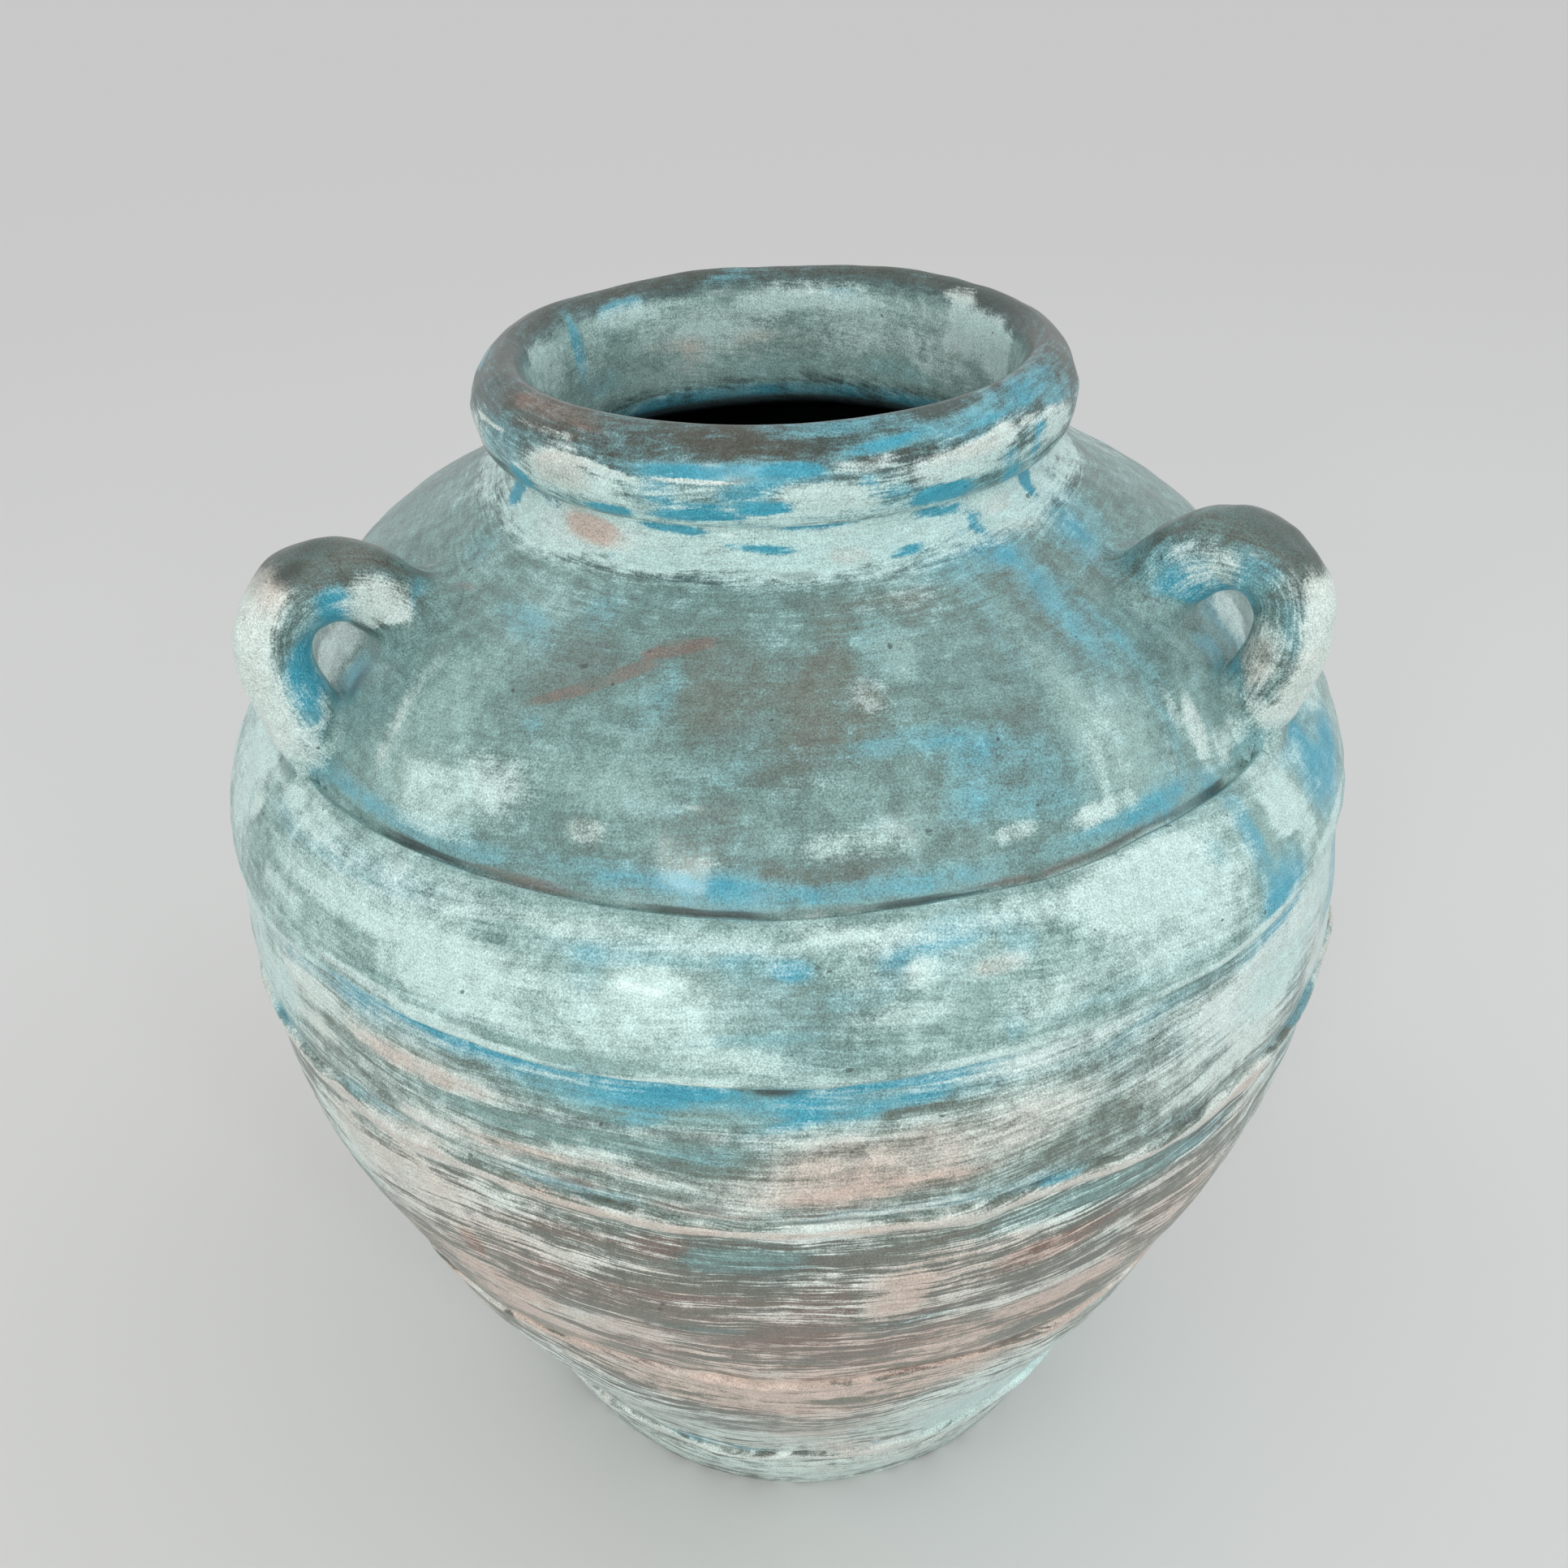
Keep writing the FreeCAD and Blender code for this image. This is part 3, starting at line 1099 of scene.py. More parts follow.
    def build(
        self, brushwork: Brushwork, material: bpy.types.Material, skin: np.ndarray
    ) -> bpy.types.Object:
        """Make, paint and settle the handle.

        Args:
            brushwork: the jar's paint.
            material: the finish.
            skin: the wall's outer line, which the roots are smeared onto.

        Returns:
            The finished piece.
        """
        shape = self.coiled()
        paths = read_layer(shape, "path")
        angles = read_layer(shape, "angle")
        places = self.smeared(vertex_places(shape), paths, angles, skin)
        places = HAND.shaped(places)
        piece = metre_mesh(self.node + "_painted", shape, places)
        girth = np.full(len(paths), self.thickness[0][1])
        own = brushwork.coats(np.degrees(angles), self.first_height + paths, girth)
        wall = brushwork.coats(azimuths(places), places[:, 2], np.hypot(places[:, 0], places[:, 1]))
        reach = self.mingling * np.clip(1 + Ripple(24, 0.5, self.seed + 4).at(places), 0.4, 1.8)
        apart = eased(above_skin(places, skin)[0] / reach, 0.1, 1.0)[:, None]
        coats = wall + (own - wall) * apart
        slant = Ripple(60, 6, self.seed + 3).at(places)
        brush = np.stack([paths / 10, np.cos(angles), (angles * girth + slant) / 10], axis=1)
        wear(piece, coats, brush)
        settle(piece, self.node, material)
        return piece


FOOT_RING = Ring(
    node="foot_ring",
    slot=Slot.LOWER,
    outside=((154.2, 0), (155.8, 0.9), (157, 3), (160.5, 12), (166, 24), (171, 38), (174.6, 52)),
    inside=((163, 56.5), (158, 42), (152, 24), (143.7, 14), (143.5, 0)),
)
LOWER_WALL = Ring(
    node="lower_wall",
    slot=Slot.LOWER,
    outside=((174.6, 52), (181, 70), (190.5, 90), (204, 115), (217, 140), (227, 166), (234.8, 192)),
    inside=((223, 196.3), (206, 148), (186, 106), (163, 56.5)),
)
MIDDLE_WALL = Ring(
    node="middle_wall",
    slot=Slot.LOWER,
    outside=(
        (234.8, 192), (243.5, 212), (252.3, 236), (260.5, 260), (266.5, 284), (270, 308), (271.4, 332),
    ),
    inside=((259, 333), (257, 300), (247, 258), (223, 196.3)),
)
UPPER_WALL = Ring(
    node="upper_wall",
    slot=Slot.UPPER,
    outside=((271.4, 332), (272.4, 350), (271.6, 366), (269.8, 386), (266.6, 404.5)),
    inside=((254.2, 403.4), (258, 370), (259, 333)),
)
BELLY_BAND = Ring(
    node="belly_band",
    slot=Slot.UPPER,
    outside=(
        (266.6, 404.5), (268.6, 404.6), (269.9, 405.6), (270.3, 408.5), (269.3, 414), (266.8, 422),
        (263.4, 431), (258.6, 440), (252.8, 447.5), (247, 452.8), (243.2, 456.2), (240.6, 458.4),
        (238.8, 459.0), (237.2, 458.0), (235.4, 456.0), (234.6, 455.0),
    ),
    inside=((226.5, 448.5), (243, 434), (254.2, 403.4)),
    spacing=1.5,
)
SHOULDER_DOME = Ring(
    node="shoulder_dome",
    slot=Slot.UPPER,
    outside=(
        (234.6, 455.0), (233.6, 457.0), (231.2, 461.5), (226.0, 470.0), (220.5, 479.5), (213.8, 490.5),
        (203.5, 501), (191, 511), (176.5, 520.5), (161, 529), (149, 535.7), (138, 542.4),
    ),
    inside=((131.6, 531.7), (160, 516), (190, 496), (226.5, 448.5)),
    spacing=1.7,
)
NECK_COLLAR = Ring(
    node="neck_collar",
    slot=Slot.RIM,
    outside=(
        (138, 542.4), (134.5, 544.6), (130.5, 546.8), (126.6, 549.8), (123.6, 553.5), (121.6, 557.5),
        (120.8, 561),
    ),
    inside=(
        (107, 561), (106.6, 550), (107.4, 538), (108.6, 533.2), (111.5, 531), (120, 530.8),
        (131.6, 531.7),
    ),
    spacing=1.4,
    turns=640,
    open_mouth=True,
)
RIM_ROLL = Ring(
    node="rim_roll",
    slot=Slot.RIM,
    outside=(
        (120.8, 561), (124.6, 561.2), (127.75, 562.2), (129.8, 564.5), (132, 568.6), (133.3, 573),
        (134.0, 578.2),
        (134.1, 581.5), (133.0, 585), (131, 590.3), (127.6, 595.3), (123.4, 598.7), (119.5, 600),
    ),
    inside=(
        (119.5, 600), (115.6, 598.9), (112, 595.6), (109.3, 590.4), (107.8, 584), (107.3, 576),
        (107, 561),
    ),
    spacing=1.4,
    turns=640,
    open_mouth=True,
)
RINGS = (FOOT_RING, LOWER_WALL, MIDDLE_WALL, UPPER_WALL, BELLY_BAND, SHOULDER_DOME, NECK_COLLAR, RIM_ROLL)

HANDLE_WALL = (BELLY_BAND, SHOULDER_DOME, NECK_COLLAR)
STRIPS = (
    SeamStrip(node="foot_seam_strip", seam=FOOT_SEAM),
    SeamStrip(node="lower_seam_strip", seam=LOWER_SEAM),
    SeamStrip(node="middle_seam_strip", seam=MIDDLE_SEAM),
)

LOOP_LINE = (
    (219, 447), (223, 459), (230.5, 474), (236, 489), (239.8, 505), (237.8, 520), (229.5, 532),
    (215, 537.5), (200.5, 533.5), (190, 523.5), (181, 512), (173, 500),
)
LOOP_THICKNESS = ((0, 18), (0.25, 16.2), (0.5, 15.8), (0.62, 17), (0.8, 17), (1, 18))
HANDLES = (
    LoopHandle("handle_left", -60, 2000, LOOP_LINE, LOOP_THICKNESS, seed=61),
    LoopHandle("handle_right", 60, 3000, LOOP_LINE, LOOP_THICKNESS, seed=71),
    LoopHandle("handle_back", 180, 4000, LOOP_LINE, LOOP_THICKNESS, seed=81),
)

# Each height, and the strength there of blue, white, brown, dark and painted shade, streak, warm, the
# hollow's painted shade and aqua.
ZONES = (
    (0, 0.05, 0.65, 0, -0.3, 0.7, 0.3, 0, 0.5),
    (52, 0.05, 0.62, 0.05, -0.3, 0.8, 0.5, 0, 0.35),
    (140, -0.05, 0.6, 0.15, -0.3, 0.9, 0.8, 0, 0.22),
    (190, -0.15, 0.55, 0.2, -0.3, 0.95, 1, 0, 0.2),
    (225, -0.3, 0.3, 0.45, -0.2, 0.95, 0.9, 0, 0.15),
    (290, -0.3, 0.38, 0.4, -0.2, 0.95, 0.75, 0, 0.25),
    (330, -0.05, 0.4, 0.2, -0.2, 0.75, 0.6, 0, 0.35),
    (345, 0.05, 0.4, 0.05, -0.2, 0.5, 0.5, 0, 0.45),
    (400, 0.1, 0.42, -0.1, -0.3, 0.42, 0.35, 0, 0.55),
    (408, 0.15, 0.36, -0.5, -0.4, 0.3, 0.1, 0, 0.95),
    (452, 0.15, 0.32, -0.6, -0.4, 0.22, 0.05, 0, 0.95),
    (470, 0.18, 0, -0.6, -0.3, 0.18, 0.1, 0, 0.8),
    (520, 0.08, -0.05, -0.6, -0.3, 0.18, 0.12, 0, 0.72),
    (540, 0.15, 0.1, -0.6, -0.3, 0.35, 0.15, 0, 0.72),
    (546, 0.4, 0.85, -0.6, -0.3, 0.5, 0.1, 0, 1),
    (558, 0.55, 0.75, -0.6, -0.3, 0.5, 0.1, 0, 1),
    (562, 0.45, 0.4, -0.6, -0.2, 0.5, 0.1, 0, 0.9),
    (580, 0.4, 0.42, -0.6, -0.3, 0.45, 0.15, 0, 0.8),
    (588, 0.2, 0.05, -0.5, -0.2, 0.4, 0.25, 0, 0.4),
    (602, 0.05, -0.32, -0.3, -0.1, 0.35, 0.35, 0, 0.2),
    (612, 0.05, 0.24, -0.5, -0.4, 0.2, 0.35, 0, 1.2),
    (650, 0.15, 0.22, -0.5, -0.4, 0.25, 0.35, 0, 1.2),
    # From 660 down the inside of the neck, the wall is painted into the near black shade of the hollow.
    (660, 0.3, 0.05, -0.5, 0.1, 0.6, 0.1, 0.15, 0.5),
    (664, 0.5, -0.3, -0.5, 0.3, 0.6, 0, 0.7, 0.1),
    (668, 0.1, -0.5, -0.5, 0.4, 0.6, 0, 1, 0),
    (1990, 0.25, 0.25, -0.4, -0.2, 0.3, 0.15, 0, 0.45),
    (5000, 0.25, 0.25, -0.4, -0.2, 0.3, 0.15, 0, 0.45),
)

# Each seam and coat, then the offset, half height, strength, patchiness and seed, and how far out it lies.
SEAM_PAINT = (
    # The dark coat is painted shade along the seams: in the groove, where it also draws a dark line, under
    # the band's lip, above the middle strip, and along the lower seam's crack line.
    SeamPaint(GROOVE, Coat.DARK, 0, 2.4, 1.2, 0.4, 3, 239),
    SeamPaint(GROOVE, Coat.BLUE, 6, 6, 0.55, 0.6, 4, 239),
    SeamPaint(GROOVE, Coat.WHITE, 3, 4, -0.5, 0.3, 20, 239),
    SeamPaint(GROOVE, Coat.BROWN, 0.8, 2.8, 1.25, 0.4, 16, 239),
    SeamPaint(GROOVE, Coat.WHITE, -4, 4, 0.4, 0.5, 5),
    SeamPaint(BELLY_SEAM, Coat.WHITE, 3.4, 3.2, 0.5, 0.6, 6),
    SeamPaint(BELLY_SEAM, Coat.DARK, -1.2, 1.8, 0.8, 0.6, 7),
    SeamPaint(BELLY_SEAM, Coat.BLUE, -7, 7.5, 0.75, 0.5, 8),
    SeamPaint(MIDDLE_SEAM, Coat.WHITE, 0, 4.4, 1, 0.3, 9),
    SeamPaint(MIDDLE_SEAM, Coat.WARM, 0, 5, 0.4, 0.6, 17),
    SeamPaint(MIDDLE_SEAM, Coat.DARK, 6.6, 1.4, 0.9, 0.6, 10),
    SeamPaint(MIDDLE_SEAM, Coat.BLUE, 9, 4, 0.6, 0.9, 11),
    SeamPaint(LOWER_SEAM, Coat.WHITE, -0.5, 5, 1, 0.2, 12),
    SeamPaint(LOWER_SEAM, Coat.WARM, 0, 6, 0.5, 0.3, 18),
    SeamPaint(LOWER_SEAM, Coat.BROWN, 6.4, 1.6, 1.1, 0.5, 13),
    SeamPaint(LOWER_SEAM, Coat.DARK, 6.2, 0.9, 0.6, 0.7, 19),
    SeamPaint(FOOT_SEAM, Coat.WHITE, -0.5, 4.4, 1, 0.3, 14),
    SeamPaint(FOOT_SEAM, Coat.BLUE, 8, 5, 0.5, 0.6, 15),
)


def laid(coat: Coat, *rows: tuple[float, ...]) -> tuple[Stroke, ...]:
    """Strokes of one coat.

    Args:
        coat: what they lay on.
        rows: each stroke's azimuth, height, half width, half height and strength, then its tilt
            where it has one.

    Returns:
        The strokes.
    """
    return tuple(Stroke(coat, *row) for row in rows)


# The shoulder: mottled sea green, bluer to the right, with a brown arc to the left.
SHOULDER_STROKES = (
    *laid(
        Coat.AQUA,
        (-7, 520, 20, 14, -0.45), (6, 516, 24, 16, -0.5), (15, 534, 30, 6, -0.3), (0, 502, 16, 8, -0.4),
        (-8, 484, 16, 12, -0.35), (13, 527, 13, 9, 0.45), (36, 486, 20, 20, 0.35),
        (-42, 490, 22, 26, 0.25), (-28, 520, 20, 10, -0.25, 17), (-38, 478, 22, 12, 0.35),
        (20, 500, 20, 8, -0.2), (-20, 492, 26, 8, 0.2), (33, 516, 10, 16, 0.3), (55, 533, 14, 10, -0.4),
        (-2, 467, 64, 7, -0.5), (40, 530, 22, 14, -0.3), (24, 495, 20, 14, -0.15), (-2, 528, 24, 8, 0.15),
    ),
    *laid(
        Coat.WARM,
        (-7, 520, 20, 14, 0.3), (6, 516, 24, 16, 0.35), (15, 534, 30, 6, 0.4), (-20, 478, 10, 6, 0.7),
        (-24, 518, 38, 9, 0.15, 17), (-47, 495, 8, 26, 0.45), (45, 543, 16, 4, 0.4),
        # The warmth at azimuth -68, height 494, tints the painted light seen through the left loop.
        (48, 478, 8, 14, 0.3), (-68, 494, 16, 12, 0.3),
    ),
    *laid(
        Coat.BROWN,
        (-24, 517, 38, 2.6, 1, 17), (-13, 528.5, 20, 2.4, 1, 4), (-29, 507, 12, 2.2, 0.8, 15),
        (-54, 527, 10, 2, 1, 8), (-20, 524, 12, 1.5, 0.6, 14), (-22, 520, 34, 5, 0.3, 17),
        (6, 531, 12, 5, 0.3), (56, 457, 26, 8, -1), (-56, 457, 26, 8, -1),
    ),
    *laid(
        Coat.BLUE,
        (-58, 537, 9, 5, 0.3), (-38, 527, 22, 4, 0.35, -4), (-27, 533, 8, 5, 0.4), (-29, 505, 6, 3, 0.4),
        (42, 522, 13, 17, 0.55), (35, 541, 30, 5, 0.45), (55, 533, 14, 10, 0.4), (22, 490, 26, 14, 0.32),
        (17, 484, 10, 8, 0.25), (13, 504, 24, 4, 0.45, 2), (30, 525, 8, 14, 0.3), (-14, 467, 50, 5, 0.3),
        (5, 463, 60, 4, 0.25), (35, 464, 40, 4, 0.35), (44, 488, 5, 18, 0.35), (-5, 499, 10, 5, 0.2),
        (62, 540, 20, 12, 0.4), (13, 528, 12, 8, 0.2), (46, 506, 6, 14, 0.4), (60, 475, 10, 10, 0.3),
        (-60, 470, 14, 12, 0.35), (26, 478, 14, 5, 0.25), (-16, 514, 10, 6, 0.25), (-14, 522, 6, 8, 0.25),
        (24, 486, 24, 20, 0.15), (30, 478, 16, 14, 0.2), (18, 500, 16, 7, 0.15), (38, 520, 14, 20, 0.25),
        # The blue at azimuths -59 and 58, height 493, is painted shade beside the handles' roots.
        (66, 495, 16, 14, 0.5), (-59, 493, 11, 10, 0.45), (58, 493, 10, 9, 0.45),
    ),
    *laid(
        Coat.WHITE,
        (-20, 478, 9, 5, 0.75), (-38, 478, 18, 9, 0.4), (-38, 465, 22, 6, 0.4), (6, 477, 22, 6, 0.5),
        (22, 472, 11, 3.5, 0.7), (32, 470, 15, 4, 0.75), (48, 478, 6, 14, 0.95), (45.5, 491, 4, 10, 0.6),
        (51, 467, 6, 8, 0.6), (-47, 490, 4, 22, 0.35), (17, 536, 20, 2.5, 0.25), (10, 516, 8, 5, 0.3),
        (-31, 487, 14, 8, 0.3), (-10, 471, 22, 3, 0.35), (54, 468, 8, 6, 0.5), (-57, 468, 10, 8, 0.5),
        (36, 500, 8, 10, 0.35), (33, 486, 8, 10, 0.3), (2, 494, 16, 4, 0.25), (-64, 466, 12, 7, 0.5),
        (-36, 478, 36, 16, 0.35), (-30, 489, 24, 10, 0.25), (-46, 500, 14, 24, 0.2),
        (33, 482, 3, 18, 0.35), (36, 476, 4, 12, 0.4), (43, 480, 3, 14, 0.3), (29, 470, 12, 5, 0.3),
        (54, 457, 24, 8, 0.3), (-54, 457, 24, 8, 0.3), (-67, 533, 24, 14, -0.2), (40, 530, 20, 14, -0.2),
        # The white at azimuths 68 and -67, near height 494, is painted light on the wall that shows through
        # the handles' loops, in their shade.
        (-2, 467, 64, 6, -0.15), (68, 494, 14, 12, 0.8), (-67, 495, 20, 16, 1),
    ),
    *laid(
        Coat.DARK,
        (3, 545, 12, 1.5, 0.8), (55, 531, 14, 7, 0.45), (-8, 484, 14, 10, 0.25), (45, 541, 12, 2.5, 0.4),
        # The dark near height 492 at azimuths -56 and 55, and at -59 and 58 below, is painted shade beside
        # the handles' roots.
        (-56, 492, 10, 10, 0.6), (55, 493, 8, 6, 0.6), (-20, 468, 20, 3, 0.25), (0, 500, 12, 4, 0.2),
        (-67, 533, 26, 14, 0.2), (40, 530, 22, 14, 0.2), (24, 495, 20, 14, 0.25), (-2, 467, 64, 7, 0.4),
        (56, 457, 26, 8, -1.4), (-56, 457, 26, 8, -1.4), (-4, 468, 50, 6, 0.15), (58, 493, 9, 8, 0.4),
        (-59, 493, 10, 10, 0.4),
    ),
)

# The belly band: white brushed over the film, with blue along its right side, and painted highlights where
# the lamps reflect.
BAND_STROKES = (
    *laid(
        Coat.WHITE,
        (-70, 440, 34, 14, 0.55), (-62, 440, 6, 5, 0.5), (-30, 437, 52, 7, 0.6), (-48, 439, 30, 6, 0.4),
        (-52, 428, 16, 4, 0.5), (-30, 425, 32, 7, 0.45), (3, 455, 15, 2.6, 0.55),
        (-10, 430, 42, 12, 0.35, 2), (17, 440, 14, 4, 0.5), (31, 450, 34, 9, 0.75),
        (35, 430, 42, 13, 0.45), (53, 443, 14, 8, 0.9), (55, 431, 9, 9, 0.5), (62, 418, 32, 3, 0.9, 4),
        # The white at azimuth 10, height 443, at azimuths -11 and -12 near height 440, and at 12, 443, is
        # painted highlight.
        (-33, 411.5, 62, 2.4, 0.8, -3), (43, 412.5, 34, 2, 0.8, 4), (10, 443, 6, 5, 0.5),
        (-11, 441, 12, 5, 0.35), (-20, 420, 20, 4, 0.3), (20, 425, 20, 8, 0.35), (-5, 416, 22, 4, 0.35),
        (-68, 425, 20, 6, 0.4), (10, 430, 18, 5, 0.3), (36, 440, 40, 4, 0.3), (-66, 432, 26, 22, 0.3),
        (-35, 441, 50, 10, 0.2), (-28, 424, 40, 10, 0.25), (-12, 440, 12, 6, 0.5), (12, 443, 10, 6, 0.25),
        (33, 446, 30, 12, 0.25), (54, 441, 12, 8, 0.3), (52, 444, 14, 8, 0.3), (48, 432, 9, 26, -0.3, -8),
        (66, 445, 20, 18, -0.4), (-2, 433, 26, 13, -0.35), (-18, 411, 34, 4, -0.4),
        (14, 431, 22, 14, -0.2), (66, 440, 16, 20, 0.2),
    ),
    *laid(
        Coat.WARM,
        (17, 440, 14, 4, 0.6), (-62, 440, 7, 6, 0.7), (3, 455, 15, 3, 0.5), (-16, 445, 12, 6, 0.4),
        (-40, 412, 40, 3, 0.5), (-28, 436, 40, 5, 0.25), (-40, 456, 20, 3, 0.4),
    ),
    *laid(
        Coat.BLUE,
        (-42, 451, 60, 5, 0.35), (-12, 449, 42, 4, 0.4), (0, 446, 9, 3.4, 0.7), (-17, 443, 8, 8, 0.35),
        (8, 447, 8, 9, 0.35), (14, 452, 18, 4.5, 0.6), (19, 446, 8, 8, 0.5), (37, 440, 22, 4, 0.4),
        (46, 436, 8, 26, 0.65, -8), (50, 424, 14, 12, 0.6), (61, 440, 20, 16, 0.5), (47, 417, 22, 5, 0.5),
        (-4, 424, 30, 2.5, 0.35, 3), (2, 417, 28, 6, 0.25), (17.5, 417, 5, 8, 0.4),
        (-30, 418, 50, 3, 0.25, -2), (30, 419, 50, 4, 0.3, 2), (70, 430, 20, 20, 0.35),
        (-55, 448, 18, 5, 0.3), (5, 437, 14, 4, 0.3), (10, 448, 14, 4, 0.3), (-68, 452, 20, 4, 0.3),
        (41, 448, 5, 6, 0.35), (60, 452, 26, 4, 0.4), (66, 445, 22, 20, 0.5), (62, 430, 20, 16, 0.4),
        (50, 420, 20, 8, 0.3), (12, 447, 16, 8, 0.25), (-4, 447, 10, 5, 0.25), (-2, 434, 30, 12, 0.12),
    ),
    *laid(
        Coat.AQUA,
        (8, 447, 10, 8, -0.3), (-10, 430, 50, 14, 0.2), (-40, 450, 50, 5, -0.25), (0, 446, 10, 4, -0.4),
        (48, 430, 20, 20, 0.2), (-2, 434, 40, 14, -0.25),
    ),
    *laid(
        Coat.DARK,
        (-17, 427, 1.6, 1.2, 1.2), (0, 446, 7, 2.4, 0.3), (-7, 406.5, 14, 1.6, 0.6),
    ),
)

# The wall between the middle seam and the band: blue under the band, then white over brown.
BELLY_STROKES = (
    *laid(
        Coat.BLUE,
        (-32, 404.5, 66, 3.2, 1, -2), (-10, 400.5, 26, 3.6, 0.9, -3), (10, 402.8, 34, 2.8, 1, 2),
        (-8, 392, 66, 7, 0.15), (8, 391, 26, 4.5, 0.6, 14), (-13, 384, 14, 4, 0.5, 16),
        (-25, 395, 30, 5, 0.25), (-50, 397, 14, 12, 0.3), (50, 400, 18, 10, 0.55, 20),
        (40, 372, 16, 4, 0.35), (59, 368, 5, 2.5, 0.9), (-8, 370, 16, 5, 0.3), (28, 388, 14, 8, 0.25, 20),
        (-30, 336.8, 26, 2, 1.1), (-50, 337, 11, 2, 0.8), (54, 334, 46, 5, 0.6, -6),
        (-60, 341, 40, 4, 0.35), (66, 380, 26, 40, 0.4), (13, 342, 10, 2, 0.4), (22, 336, 12, 2.5, 0.5),
        (-2, 384, 20, 3, 0.5, 12), (36, 405, 24, 2, 0.3), (33, 340, 26, 3, 0.4),
        (-34, 403.5, 64, 4.2, 0.5, -2), (10, 403.5, 36, 4, 0.4, 2), (40, 372, 10, 5, 0.4),
        (34, 385, 8, 8, 0.35), (44, 398, 20, 6, 0.4, 24), (66, 380, 26, 44, 0.4),
    ),
    *laid(
        Coat.WHITE,
        (-33, 381, 44, 6, 0.6), (-50, 366, 22, 5, 0.5), (-18, 364, 15, 3, 0.5), (-33, 355, 15, 3.4, 0.7),
        (-20, 358, 44, 3, 0.35), (8, 366, 70, 15, 0.3, 6), (45, 384, 40, 13, 0.75, 8),
        (33, 366, 24, 9, 0.4), (55, 395, 24, 8, 0.5), (45, 365, 26, 11, 0.5), (40, 350, 34, 6, 0.5),
        (-62, 380, 30, 26, 0.35), (-20, 372, 62, 5, -0.35), (-8, 392, 74, 8, -0.35),
        (22, 400, 40, 6, 0.35, 4), (20, 380, 26, 8, 0.3, -10), (-12, 386, 30, 3, -0.3, 6),
        (0, 350, 40, 4, 0.35, 4), (-35, 345, 30, 3, 0.35), (-42, 400, 12, 4, -0.2),
        (62, 350, 30, 10, 0.4), (46, 378, 26, 22, 0.4), (36, 388, 16, 8, 0.35), (45, 350, 30, 10, 0.3),
        (-30, 383, 26, 5, 0.2), (-7, 369, 24, 9, -0.4), (12, 362, 60, 12, 0.15, 8),
        (-2, 402, 14, 4, -0.8), (-2, 330, 20, 6, -0.25), (58, 386, 30, 30, 0.35),
    ),
    *laid(
        Coat.WARM,
        (8, 366, 72, 15, 0.45, 6), (8, 351, 44, 5, 0.7, 4), (-33, 381, 44, 6, 0.5),
        (-20, 358, 44, 4, 0.45), (45, 372, 50, 26, -0.35), (-10, 392, 74, 8, -0.3),
        (-60, 370, 40, 30, -0.3), (-22, 340, 20, 3, 0.5),
    ),
    *laid(
        Coat.BROWN,
        (-19, 347, 16, 2.6, 0.9), (-8, 343.5, 24, 4, 0.75), (3, 341.5, 22, 2.6, 0.9), (9, 340, 8, 2, 0.5),
        (-22, 372, 24, 3, 0.35), (7, 364, 2, 1.2, 1.2, 60), (-26, 352, 16, 1.5, 0.5, 10),
        (10, 358, 40, 1.2, 0.6, 10), (-6, 380, 26, 3, 0.4, 4),
    ),
    *laid(
        Coat.DARK,
        (-19, 347, 14, 2.2, 0.45), (-10, 377, 24, 4, 0.3, 6), (30, 377, 9, 3, 0.6),
        (-2, 402, 9, 3.4, 0.55), (-8, 345, 10, 3.5, 0.4), (18, 376, 40, 0.9, 0.5, -4),
        (2, 396, 30, 2, 0.3, 4), (9, 389, 14, 1.6, 0.4, 14), (-28, 397, 5, 3, 0.3, -40),
        (46, 356, 10, 5, 0.3, -30), (-8, 394, 50, 7, 0.3, 4), (-4, 376, 30, 5, 0.25, 4),
        (-19, 346, 12, 3, 0.4), (-7, 345, 14, 4, 0.4), (2, 341, 20, 3, 0.4), (-1, 402, 14, 5, 0.5),
    ),
    *laid(
        Coat.AQUA,
        (-20, 372, 62, 6, 0.3), (66, 375, 30, 40, 0.5), (-62, 375, 40, 40, 0.4),
        (8, 366, 70, 14, -0.2, 6), (-10, 392, 70, 9, 0.3), (60, 400, 30, 60, 0.3),
    ),
)

